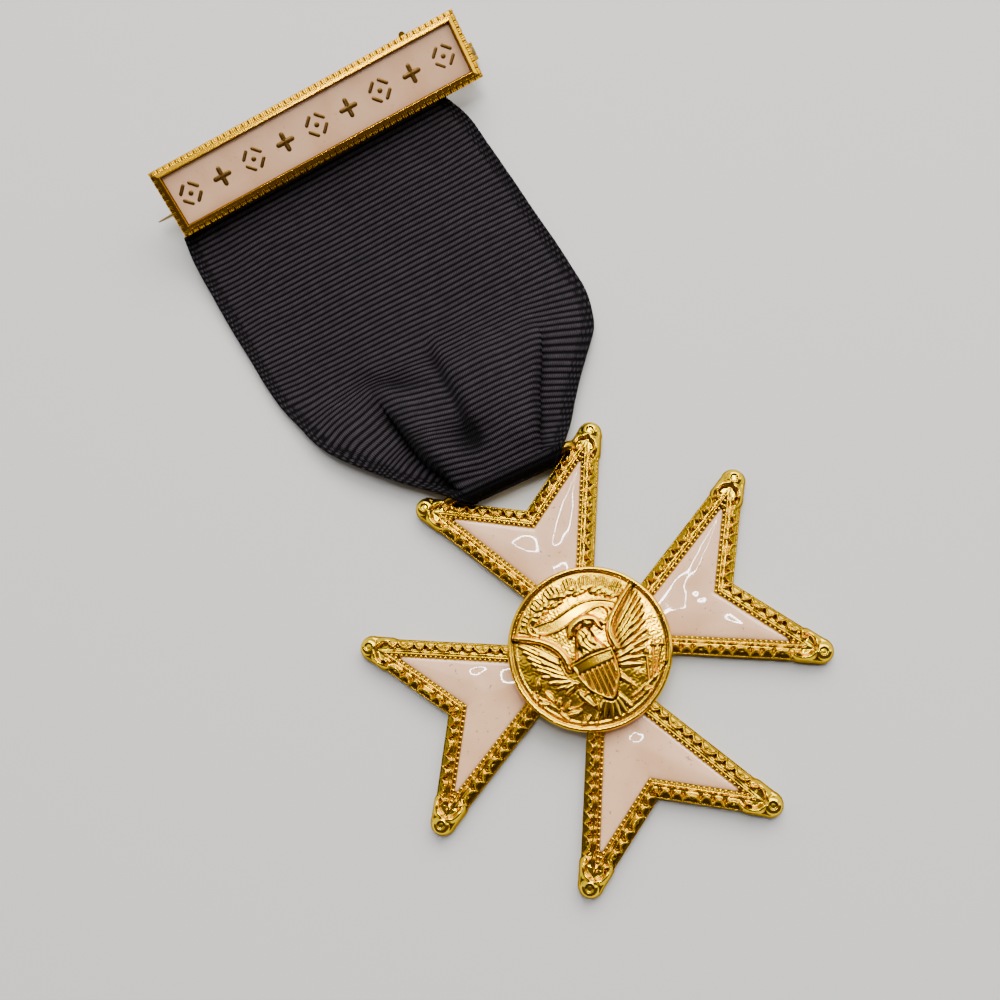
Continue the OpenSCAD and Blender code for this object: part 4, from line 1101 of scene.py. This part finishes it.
def stroke(a, b, half, high=MOTIF_TOP, steps=7):
    """A raised stroke from a to b with round ends and a rounded edge."""
    a, b = np.array(a, float), np.array(b, float)
    t = math.atan2(*(b - a)[::-1])
    # rows: inset and height, from the foot of the wall to the middle of the back
    section = [(0, MOTIF_FOOT), (0, high - 0.06), (0.03, high - 0.02), (0.09, high),
               (half - 0.01, high + 0.01)]
    points = []
    for inset, z in section:
        r = half - inset
        for centre, start in ((b, t - math.pi / 2), (a, t + math.pi / 2)):
            for k in range(steps + 1):
                angle = start + math.pi * k / steps
                points.append([centre[0] + r * math.cos(angle), centre[1] + r * math.sin(angle), z])
    n = 2 * (steps + 1)
    # painted shade: dark at the foot of each stroke's wall, none on its back
    marks = {"dirt_and_shade": np.repeat([1, 0.9, 0.5, 0.1, 0], n)}
    return np.array(points), grid_faces(len(section), n, True), marks


step = (hw - BAND) / 4.5
reach_x, reach_y = 0.36 * step, 1.52
strokes = []
for i in range(-4, 5):
    cx = i * step
    if i % 2 == 0:
        for sx, sy in ((1, 1), (1, -1), (-1, 1), (-1, -1)):
            a, b = np.array([sx * reach_x, 0]), np.array([0, sy * reach_y])
            ends = [[cx, 0] + a + (b - a) * part for part in (0.27, 0.73)]
            strokes.append(stroke(*ends, STROKE_HALF))
        strokes.append(stroke([cx - 0.02, 0], [cx + 0.02, 0], CROSS_HALF))
    else:
        # the upright is a hair lower, so that the two backs do not lie in one plane
        strokes.append(stroke([cx - CROSS_ARM, 0], [cx + CROSS_ARM, 0], CROSS_HALF))
        strokes.append(stroke([cx, -CROSS_ARM], [cx, CROSS_ARM], CROSS_HALF, MOTIF_TOP - BACK_STEP))
points, faces, marks = merge(strokes)
made = piece("bar_motif", on_bar(points), faces, motif_gilt, marks=marks)
print("strokes in the motif:", len(strokes))

# %% [markdown]
# The bar's enamel is one flat sheet inside the moulding. It is lowest along its edge and beside the
# raised strokes, where the melt drew back, and a soft hill near one end bends its gloss.

# %% Enamel of the bar
PANEL_ROWS, PANEL_COLUMNS = 181, 41
panel_x, panel_y = np.meshgrid(
    np.linspace(-1, 1, PANEL_ROWS) * (hw - BAND - 0.02),
    np.linspace(-1, 1, PANEL_COLUMNS) * (hh - BAND - 0.02), indexing="ij")
edge = np.minimum(hw - BAND - np.abs(panel_x), hh - BAND - np.abs(panel_y))
z = -0.07 + 0.09 * (1 - np.exp(-edge / 0.35)) + 0.012 * np.sin(panel_x * 0.5) * np.cos(panel_y * 0.9)
z = z + 0.03 * bell(panel_x - 16.6, 1.6, panel_y + 1.2, 1.1)
z = z - 0.02 * ease(0.6, 0.1, np.abs(np.sin(np.pi * panel_x / step)) + np.abs(panel_y) / 3)
points = on_bar(np.dstack([panel_x, panel_y, z]))
made = piece("bar_panel", points, grid_faces(PANEL_ROWS, PANEL_COLUMNS), panel_enamel)
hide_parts("bar_enamel")
print("panel is", round(2 * (hw - BAND), 1), "mm long")

# %% [markdown]
# Two turned wires lie behind the bar: the one that the ribbon loops over and the rivet of the hinge.
# Each is a profile with a small bevel at both ends.

# %% Wires
WIRE_SIDES, ROD_R, ROD_PAST, RIVET_R = 28, 0.35, 0.45, 0.34
ALONG_X = [[1, 0, 0], [0, 1, 0], [0, 0, 1]]
ALONG_Y = [[0, 1, 0], [0, 0, 1], [1, 0, 0]]

rod_start, rod_run = left_post - ROD_PAST, right_post - left_post + 2 * ROD_PAST
rod_profile = [[0, 0, 0.5], [0, 0.33, 0.2], [0.03, ROD_R, 0], [rod_run - 0.03, ROD_R, 0],
               [rod_run, 0.33, 0.2], [rod_run, 0, 0.5]]
points, faces, marks = lathe(rod_profile, WIRE_SIDES, [rod_start, rod_in_y, rod_in_z], ALONG_X)
made = piece("ribbon_wire", on_bar(points), faces, wire_gilt, marks=marks)
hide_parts("ribbon_rod")

rivet_run = 2 * EAR_HALF
rivet_profile = [[0, 0, 0.2], [0, 0.30, 0.2], [0.04, RIVET_R, 0], [rivet_run - 0.04, RIVET_R, 0],
                 [rivet_run, 0.30, 0.2], [rivet_run, 0, 0.2]]
points, faces, marks = lathe(rivet_profile, WIRE_SIDES, [HINGE_X, PIN_Y - EAR_HALF, PIN_Z], ALONG_Y)
made = piece("rivet", on_bar(points), faces, wire_gilt, marks=marks)
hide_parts("hinge_rivet")
print("the ribbon's wire is", round(rod_run, 1), "mm long")

# %% [markdown]
# ### The pin
# The pin has an eye that turns on the rivet, a collar and a long taper. It is the one piece that rides
# on the moving body. Its wire is pale where it is rubbed and brown in patches, by a noise. The mark of
# dirt and painted shade darkens it at its hinge end, beside the collar and in its eye: painted shade
# in those corners.

# %% Pin and its material
PIN_R, PIN_LEN, TAPER, COLLAR_R = 0.4, 43.4, 6.4, 0.62
EYE_R, EYE_HALF = 0.9, 0.5

drawn, into, out = start_group(
    "Drawn wire", [("Steel", COLOUR, (0.80, 0.64, 0.36, 1)), ("Wear and shade", COLOUR, (0.22, 0.13, 0.04, 1))],
    [("Colour", COLOUR)])
patches = maths(drawn, "MULTIPLY", noise(drawn, 700, 3), 0.5)
# brown by patches of wear from the noise and by painted shade from the mark
wear_and_shade = maths(drawn, "ADD", patches, mark_value(drawn, "dirt_and_shade"), True)
drawn.links.new(blend(drawn, wear_and_shade, into.outputs["Steel"], into.outputs["Wear and shade"]), out.inputs["Colour"])
pin_steel, _ = material("pin_wire", drawn, {"Colour": "Base Color"}, Metallic=1, Roughness=0.28,
                        Specular_Tint=GLANCING)

stem_profile = [
    [0.55, 0, 0.6], [0.55, PIN_R, 0.5], [1.05, PIN_R, 0.6], [1.06, 0.58, 0.3], [1.10, COLLAR_R, 0],
    [1.61, COLLAR_R, 0], [1.65, 0.58, 0.3], [1.66, PIN_R, 0.6], [PIN_LEN - TAPER, PIN_R, 0],
    [PIN_LEN - 0.4 * TAPER, 0.7 * PIN_R, 0], [PIN_LEN - 0.05, 0.1, 0], [PIN_LEN, 0.04, 0]]
eye_profile = [[0, 0.42, 0.9], [0, 0.84, 0.8], [0.06, EYE_R, 0.7], [0.94, EYE_R, 0.7], [1, 0.84, 0.8],
               [1, 0.42, 0.9], [0, 0.42, 0.9]]
pin_stem = lathe(stem_profile, WIRE_SIDES, [HINGE_X, PIN_Y, PIN_Z], [[-1, 0, 0], [0, 1, 0], [0, 0, -1]])
pin_eye = lathe(eye_profile, WIRE_SIDES, [HINGE_X, PIN_Y - EYE_HALF, PIN_Z], ALONG_Y)
points, faces, marks = merge([pin_stem, pin_eye])
made = piece("brooch_pin", on_bar(points), faces, pin_steel, body="pin", marks=marks)
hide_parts("pin_stem")
print("pin reaches from the hinge", PIN_LEN, "mm to its point")

# %% [markdown]
# ## The medallion
# The struck disc is a single sheet of heights. We start from a domed field and raise each figure with
# `np.maximum`, so that a later figure covers an earlier one where it is higher. Distances to strokes
# and outlines do all the drawing.

# %% A round grid
DISC_R, SEAT, FIELD = 8.65, 2.25, 3.0
DISC_GRID = 301

gu, gv = np.meshgrid(*[np.linspace(-1, 1, DISC_GRID)] * 2, indexing="ij")
face_r = DISC_R - 0.5
# a square grid pressed into a round one
mx, my = face_r * gu * np.sqrt(1 - gv**2 / 2), face_r * gv * np.sqrt(1 - gu**2 / 2)
mr = np.hypot(mx, my)
print("grid points on the disc:", mx.size)

# %% [markdown]
# Three distances do the drawing: to a straight stroke, to a bent line and to the edge of an outline.
# `stamp` lays a shape on the relief where it stands higher than what is there.

# %% Drawing helpers
def to_stroke(a, b):
    """Distance to the line from a to b, and the share of the way along it."""
    ax, ay = a
    dx, dy = b[0] - ax, b[1] - ay
    t = np.clip(((mx - ax) * dx + (my - ay) * dy) / (dx * dx + dy * dy + 1e-9), 0, 1)
    return np.hypot(mx - ax - t * dx, my - ay - t * dy), t


def to_path(path):
    """Distance to a bent line, and the share of the way along it."""
    best, where = np.full(mx.shape, 99.0), np.zeros(mx.shape)
    for k in range(len(path) - 1):
        d, t = to_stroke(path[k], path[k + 1])
        where = np.where(d < best, (k + t) / (len(path) - 1), where)
        best = np.minimum(best, d)
    return best, where


def within(outline):
    """Distance inside an outline, negative outside it."""
    inside = np.zeros(mx.shape, bool)
    n = len(outline)
    for k in range(n):
        (x0, y0), (x1, y1) = outline[k], outline[(k + 1) % n]
        crosses = (y0 > my) != (y1 > my)
        inside ^= crosses & (mx < (x1 - x0) * (my - y0) / ((y1 - y0) or 1e-9) + x0)
    d, _ = to_path([*outline, outline[0]])
    return np.where(inside, d, -d)


def bent(points, steps=8):
    """A smooth line through a few points."""
    points = np.array(points, float)
    keys = np.arange(len(points))
    t = np.linspace(0, len(points) - 1, steps * (len(points) - 1) + 1)
    return np.stack([curve(t, keys, points[:, 0]), curve(t, keys, points[:, 1])], 1).tolist()


relief = np.zeros(mx.shape)
# `dark` holds painted shade: along the sides of feathers, leaves and cloud puffs, in cut grooves, in the
# body's streaks and round the shield; the rays are a little darker all over
dark = np.zeros(mx.shape)


def stamp(height, shade=0.0):
    """Raise the relief to a height where that is above what is there, with its painted shade."""
    global relief, dark
    above = height > relief
    relief = np.where(above, height, relief)
    dark = np.where(above, shade, dark)


print("drawing helpers ready")

# %% [markdown]
# Far things come first: rays and clouds, then the scroll, the wings, the body and last the shield.

# %% Rays, clouds and scroll
ring_a = np.degrees(np.arctan2(my, mx))
for centre, wide in ((146, 9), (133, 9), (117, 9), (101, 9), (83, 8), (69, 8), (55, 8), (42, 7)):
    share = np.clip((ring_a - centre) / wide, -1, 1)
    tip = 7.75 - 0.75 * share**2
    on = ease(1.0, 0.9, np.abs((ring_a - centre) / wide)) * ease(tip, tip - 0.12, mr) * ease(6.0, 6.3, mr)
    stamp(on * (0.10 + 0.05 * np.cos(share * 15)), 0.25)
cloud = bent([[-4.3, 5.0], [-3.2, 5.6], [-1.6, 6.1], [0.2, 6.3], [1.8, 6.0], [3.2, 5.3], [4.3, 4.4]])
for k, (cx, cy) in enumerate(cloud[::3]):
    # two puffs: x and y from there, half width, half height
    puffs = [(0.0, 0.2 * math.sin(2.3 * k), 0.62, 0.36), (0.3, -0.42 + 0.2 * math.cos(1.7 * k), 0.46, 0.22)]
    for dx, dy, wide, tall in puffs:
        d = np.hypot((mx - cx - dx) / wide, (my - cy - dy) / tall)
        # the puffs are painted darker at their edges, as shade
        stamp(0.30 * dome(d, 1), 0.5 * ease(0.7, 1, d))
upper = bent([[-4.7, 4.5], [-3.4, 4.45], [-2.0, 4.35], [-0.5, 4.6], [1.2, 4.75], [2.8, 4.4], [4.2, 3.6],
              [5.0, 2.7]])
lower = bent([[4.3, 2.2], [3.6, 3.0], [2.6, 3.45], [1.2, 3.4], [-0.4, 3.1], [-2.0, 2.85], [-3.4, 3.0],
              [-4.4, 3.5]])
scroll = within(upper + lower)
stamp(ease(-0.03, 0.08, scroll) * (0.20 + 0.13 * bell(scroll - 0.1, 0.09)))
for curl in (bent([[-4.4, 3.3], [-5.0, 3.9], [-4.9, 4.7], [-4.3, 5.1], [-3.9, 4.8]]),
             bent([[3.3, 3.3], [3.5, 2.6], [3.1, 1.9], [2.5, 1.7], [2.3, 2.1]])):
    d, _ = to_path(curl)
    stamp(0.34 * dome(d, 0.24))
print("highest so far:", round(float(relief.max()), 2), "mm")

# %% [markdown]
# A wing is a row of long feathers, a second row of short ones over it and a smooth front edge with a
# deep groove under it, painted dark as shade. Each feather is a tapered stroke, domed across, with painted
# shade along its sides.

# %% Wings
def feather(a, b, half, high):
    """A tapered stroke, domed across, with painted shade along its sides."""
    d, t = to_stroke(a, b)
    w = half * (0.8 + 0.3 * np.sin(np.pi * np.clip(t * 0.9 + 0.1, 0, 1)))
    bulge = np.clip(1 - (d / w) ** 2, 0, 1)
    stamp(high * (0.35 + 0.65 * np.sqrt(bulge)) * (bulge > 0) * (0.85 + 0.15 * t), ease(0.5, 0.1, bulge))


def groove(path, wide, deep):
    """Cut a line into what is already there, with painted shade in it."""
    global relief, dark
    d, _ = to_path(bent(path))
    cut = bell(d, wide)
    relief = relief * (1 - deep * cut)
    dark = np.maximum(dark, cut)


def wing(roots, tips, short_tips, front_edge, count_long, count_short):
    """A wing from the line of its feather roots and the line of their tips."""
    keys = np.linspace(0, 1, len(roots))
    roots, tips, short_tips = (np.array(v, float) for v in (roots, tips, short_tips))

    def at(points, q):
        """The point at share q of a line."""
        return [float(curve(np.array([q]), keys, points[:, k])[0]) for k in (0, 1)]

    for k in range(count_long):
        q = k / (count_long - 1)
        feather(at(roots, q), at(tips, q), 0.27, 0.38 + 0.03 * (k % 2))
    for k in range(count_short):
        q = (k + 0.5) / count_short
        feather(at(roots, q), at(short_tips, q), 0.27, 0.48)
    inner = np.array(front_edge, float)
    groove(inner + (np.mean(tips, axis=0) - np.mean(inner, axis=0)) * 0.16, 0.26, 0.75)
    d, t = to_path(bent(front_edge))
    stamp(0.62 * dome(d, 0.46 - 0.14 * t))


wing([[3.0, 0.6], [2.9, -0.4], [2.7, -1.2], [2.4, -2.0], [2.0, -2.8]],
     [[6.8, 4.0], [6.9, 2.2], [6.3, 0.2], [5.5, -2.0], [4.2, -3.7]],
     [[5.2, 2.4], [5.2, 1.0], [4.7, -0.3], [4.2, -1.7], [3.3, -3.1]],
     [[2.6, -1.2], [2.6, 0.4], [3.3, 1.7], [4.9, 3.0], [6.9, 4.3]], 11, 7)
wing([[-3.6, 0.2], [-3.7, -0.9], [-3.6, -1.7], [-3.2, -2.4], [-2.7, -2.9]],
     [[-6.7, 3.9], [-6.4, 2.2], [-6.0, 0.5], [-5.4, -1.4], [-4.1, -3.4]],
     [[-5.0, 1.9], [-5.1, 0.6], [-4.9, -0.6], [-4.5, -2.0], [-3.5, -3.2]],
     [[-2.7, -1.2], [-2.8, 0.3], [-3.4, 1.6], [-4.7, 2.9], [-6.9, 4.2]], 10, 6)
print("highest so far:", round(float(relief.max()), 2), "mm")

# %% [markdown]
# Below the wings the eagle holds a leafy twig and a bundle of arrows. A leaf is a short stroke with a
# swelling width and a vein. An arrow is a thin stroke with a pointed head.

# %% Leaves and arrows
# columns: x, y, length, half width and direction in degrees of a leaf
LEAVES = [
    (-6.5, -1.4, 1.1, 0.30, 60), (-7.2, -2.3, 0.8, 0.26, 95), (-5.8, -2.9, 1.2, 0.34, 110),
    (-6.6, -3.3, 0.9, 0.26, 150), (-5.3, -4.0, 1.0, 0.30, 60), (-4.3, -5.4, 1.5, 0.34, 170),
    (-5.2, -5.3, 1.0, 0.28, 120), (-3.4, -6.6, 1.0, 0.30, 20), (-2.4, -4.7, 1.9, 0.42, 115),
    (-1.6, -5.9, 1.1, 0.30, 75), (-4.6, -4.5, 1.0, 0.24, 30), (-2.4, -7.0, 0.8, 0.24, 60)]
# columns: x and y of the tail, x and y of the head's root
ARROWS = [(2.0, -6.3, 4.9, -5.5), (4.2, -5.6, 5.2, -2.8), (4.8, -5.3, 6.2, -2.4), (5.2, -5.0, 7.0, -2.7),
          (3.4, -6.2, 6.7, -4.5), (1.2, -7.1, 3.6, -6.4)]

for x, y, long, half, way in LEAVES:
    way = math.radians(way)
    step_x, step_y = 0.5 * long * math.cos(way), 0.5 * long * math.sin(way)
    d, t = to_stroke([x - step_x, y - step_y], [x + step_x, y + step_y])
    w = half * (0.55 + 0.6 * np.sin(np.pi * np.clip(t, 0.05, 0.95)))
    # the leaves are painted darker at their edges, as shade
    stamp(0.42 * dome(d, w) - 0.08 * bell(d, 0.06), ease(0.6, 1, d / w))
d, _ = to_path(bent([[-1.2, -4.2], [-3.4, -5.0], [-5.4, -4.4], [-6.9, -2.6]]))
stamp(0.26 * dome(d, 0.14))
for x0, y0, x1, y1 in ARROWS:
    tail, root = np.array([x0, y0]), np.array([x1, y1])
    d, _ = to_stroke(tail, root)
    stamp(0.28 * dome(d, 0.13))
    ahead = (root - tail) / math.hypot(x1 - x0, y1 - y0)
    d, t = to_stroke(root, root + 0.6 * ahead)
    stamp(0.36 * dome(d, 0.28 * (1 - t) + 0.03))
print("highest so far:", round(float(relief.max()), 2), "mm")

# %% [markdown]
# The body's plumage is a pattern of small overlapping bumps. The shield is smooth at its head and
# striped below.

# %% Tail, legs, body, head and shield
for k in range(6):
    a = math.radians(-98 + (k - 2.5) * 15)
    feather([0.1 + 0.14 * (k - 2.5), -5.0], [2.9 * math.cos(a), -4.7 + 2.8 * math.sin(a)], 0.28, 0.34)
for side, foot in ((-1, [-2.5, -4.3]), (1, [2.4, -5.0])):
    d, t = to_path(bent([[side * 0.9, -3.0], [side * 1.7, -4.0], foot]))
    stamp(0.48 * dome(d, 0.55 - 0.35 * t))
    for k in range(3):
        a = math.radians(-60 - 40 * k) if side > 0 else math.radians(-120 + 40 * k)
        d, t = to_stroke(foot, np.array(foot) + 0.62 * np.array([math.cos(a), math.sin(a)]))
        stamp(0.36 * dome(d, 0.15 * (1.1 - t)))
body = within(bent([
    [-0.9, 1.7], [-1.35, 0.6], [-2.1, -1.2], [-2.2, -3.4], [-0.8, -5.0], [0.9, -5.0], [2.0, -3.4],
    [2.0, -1.2], [1.2, 0.5], [0.95, 1.7], [0.5, 2.3], [-0.4, 2.3], [-0.9, 1.7]]))
streak = 0.5 + 0.5 * np.sin(mx * 9 + 1.6 * np.sin(my * 3.1)) * np.sin(my * 4.2 + 2 * np.sin(mx * 3.7))
shadow = bell(mx + 1.0 + 0.28 * my, 0.26) * ease(-0.6, 0, my)
high = ease(0, 0.5, body) ** 0.5 * 0.5 + ease(0.05, 0.2, body) * (0.07 * streak - 0.16 * shadow)
# painted shade in the troughs of the streaks and in the dip of a shadow line left of the middle
stamp(high, 0.45 * (1 - streak) + shadow)
head = bent([[-1.3, 1.9], [-0.9, 2.55], [0.0, 2.95], [1.0, 2.9], [1.7, 2.45], [1.85, 1.9], [2.05, 1.2]])
d, t = to_path(head)
stamp(0.62 * dome(d, np.interp(t, [0, 0.3, 0.7, 1], [0.3, 0.55, 0.45, 0.1])))
skull, iris = np.hypot(mx - 0.9, my - 2.45), np.hypot(mx - 1.05, my - 2.55)
stamp(0.62 * dome(skull, 0.62) - 0.14 * bell(iris, 0.12))
sides = bent([[-2.45, -0.95], [-2.2, -2.6], [-1.7, -4.0], [-0.8, -5.1], [0.1, -5.75], [0.9, -5.0],
              [1.65, -3.9], [2.0, -2.6], [2.15, -0.95]], 5)
shield = within(sides + [[2.15, -0.95], [-0.1, -0.75], [-2.45, -0.95]])
bow = 0.10 * np.clip(1 - ((mx + 0.1) / 2.3) ** 2, 0, 1)
stripe = 0.5 + 0.5 * np.cos(2 * np.pi * (mx + 0.1) / 0.56)
low = ease(-2.05, -2.2, my)
chief = bell(my + 2.1, 0.08)
inner = ease(0.12, 0.25, shield)
plate_z = (0.60 + bow + 0.08 * bell(shield - 0.1, 0.09) - 0.24 * low * (1 - stripe) * inner
           - 0.12 * chief * inner)
relief = np.where(shield > 0, plate_z, np.maximum(relief - 0.3 * bell(shield, 0.16), 0))
# painted shade in the stripe grooves, along the groove under the chief and round the shield's edge
shade = (0.85 * low * (1 - stripe) + 0.6 * chief) * inner
dark = np.where(shield > 0, shade, dark + 0.7 * bell(shield, 0.2))
print("highest point of the relief:", round(float(relief.max()), 2), "mm")

# %% [markdown]
# A struck field is never dead flat. Low noise, written as a few sine waves, gives it a soft ripple.
# A turned rim closes the disc.

# %% Put the disc together
FACE_Z, CUT_R, LINE_R, RING_HALF = FIELD - 0.06, 8.0, 7.72, 0.07

ripple = 0.010 * np.sin(mx * 1.9 + 0.6 * np.sin(my * 1.3)) * np.sin(my * 2.3 + 0.5 * np.sin(mx * 1.7))
grain = 0.005 * np.sin(mx * 9.1 + 2 * np.sin(my * 5.3)) * np.sin(my * 8.3 + 2 * np.sin(mx * 6.1))
crown = 0.26 * (1 - (mr / DISC_R) ** 2)
height = FACE_Z + crown + 0.9 * relief + (ripple + grain) * ease(0.2, 0.0, relief)
ring_cut = bell(mr - CUT_R, RING_HALF)
height = height - 0.10 * ring_cut + 0.07 * bell(mr - LINE_R, RING_HALF) * ease(0, -1, mx + my)
# painted shade lies where a steep wall meets the field and in the cut ring
steep = np.clip(np.hypot(*np.gradient(relief)) * 22, 0, 1)
deep = np.clip(dark + 0.8 * np.clip(1 - relief / 0.16, 0, 1) * steep + 0.9 * ring_cut, 0, 1)
disc = (np.dstack([mx, my, height]), grid_faces(DISC_GRID, DISC_GRID)[:, ::-1], {"dirt_and_shade": deep})
# the rim's inner foot carries painted shade
rim_profile = [
    [FACE_Z, face_r, 1], [FIELD + 0.10, face_r + 0.03, 0.6], [FIELD + 0.19, face_r + 0.10, 0],
    [FIELD + 0.235, face_r + 0.22, 0], [FIELD + 0.21, face_r + 0.34, 0], [FIELD + 0.12, face_r + 0.44, 0],
    [FIELD - 0.02, DISC_R, 0.1], [SEAT, DISC_R, 0.5], [SEAT, 0, 0.5]]
points, faces, marks = merge([disc, lathe(rim_profile, 160)])
medal = piece("medallion_relief", points, faces, medal_gilt, marks=marks)
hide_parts("medallion")
print("medallion faces:", len(medal.data.polygons))

# %% [markdown]
# ## The stage
# A pale table, a large soft window behind the jewel, a small one beside it and a thin ring lamp. The
# ring is what draws the fine looped lines in the enamel. Lamps are set in the picture's own side and
# up, which run aslant over the table.

# %% Table and light
MIDDLE = (0, 0.02, 0)

table = bpy.data.objects.new("table", bpy.data.meshes.new("table"))
table.data.from_pydata([(-2, -2, 0), (2, -2, 0), (2, 2, 0), (-2, 2, 0)], [], [(0, 1, 2, 3)])
bpy.context.collection.objects.link(table)
pale, _ = plain_material("table", Base_Color=(0.72, 0.72, 0.71, 1), Roughness=0.9)
table.data.materials.append(pale)


def soft_lamp(name, place, size, power, tint=(1, 1, 1)):
    """An area lamp that looks at the middle of the jewel."""
    lamp = bpy.data.objects.new(name, bpy.data.lights.new(name, "AREA"))
    bpy.context.collection.objects.link(lamp)
    lamp.data.shape = "RECTANGLE"
    lamp.data.size, lamp.data.size_y = size
    lamp.data.energy = power
    lamp.data.color = tint
    lamp.matrix_world = looking(place, MIDDLE)


UP = np.array([0.432, 0.902, 0])
SIDE = np.array([0.902, -0.432, 0])


def over(side, up, high):
    """A place over the cross, given along the picture's own side and up."""
    return Vector(SIDE * side + UP * up + [0, 0, high])


soft_lamp("window", over(0.15, 0.60, 0.55), (0.9, 0.45), 9.0, (1.0, 0.96, 0.91))
soft_lamp("side_window", over(0.8, 0.15, 0.40), (0.2, 0.4), 0.6)

RING_IN, RING_OUT, RING_SIDES = 0.0468, 0.0525, 96
a = around(RING_SIDES)
rings = [[r * np.cos(a), r * np.sin(a), 0 * a] for r in (RING_IN, RING_OUT)]
points = np.array(rings).transpose(0, 2, 1).reshape(-1, 3)
ring_mesh = bpy.data.meshes.new("ring_lamp")
ring_mesh.from_pydata(points.tolist(), [], grid_faces(2, RING_SIDES, True).tolist())
ring_lamp = bpy.data.objects.new("ring_lamp", ring_mesh)
bpy.context.collection.objects.link(ring_lamp)
ring_lamp.matrix_world = looking(over(0.0, 0.09, 0.30), (0, 0, 0))
glow, _ = plain_material("ring_lamp", Emission_Color=(1, 1, 1, 1), Emission_Strength=80)
ring_mesh.materials.append(glow)
print("lamps:", len(bpy.data.lights) + 1)

# %% [markdown]
# ### A sky in two halves
# Gold looks like gold only when it mirrors something bright beside something dark. So the sky is pale
# on the side of the picture's top edge and dim on the side of its bottom edge. The change comes from
# one dot product between the ray's direction and the picture's up. Where the camera itself looks past
# the table, it sees a plain pale wall instead.

# %% Sky
BRIGHT_HALF, DIM_HALF, WALL = (0.95, 0.95, 0.95, 1), (0.085, 0.062, 0.04, 1), (0.62, 0.62, 0.61, 1)

world = bpy.data.worlds.new("world")
bpy.context.scene.world = world
world.use_nodes = True
sky = world.node_tree
dot = add(sky, "ShaderNodeVectorMath", operation="DOT_PRODUCT")
feed(sky, dot.inputs[0], add(sky, "ShaderNodeTexCoord").outputs["Generated"])
feed(sky, dot.inputs[1], tuple(UP))
ramp = add(sky, "ShaderNodeMapRange", interpolation_type="SMOOTHSTEP", From_Min=0.0, From_Max=0.09,
           Value=dot.outputs["Value"])
halves = blend(sky, ramp.outputs[0], DIM_HALF, BRIGHT_HALF)
seen = add(sky, "ShaderNodeLightPath").outputs["Is Camera Ray"]
sky.links.new(blend(sky, seen, halves, WALL), sky.nodes["Background"].inputs["Color"])
print("sky nodes:", len(sky.nodes))
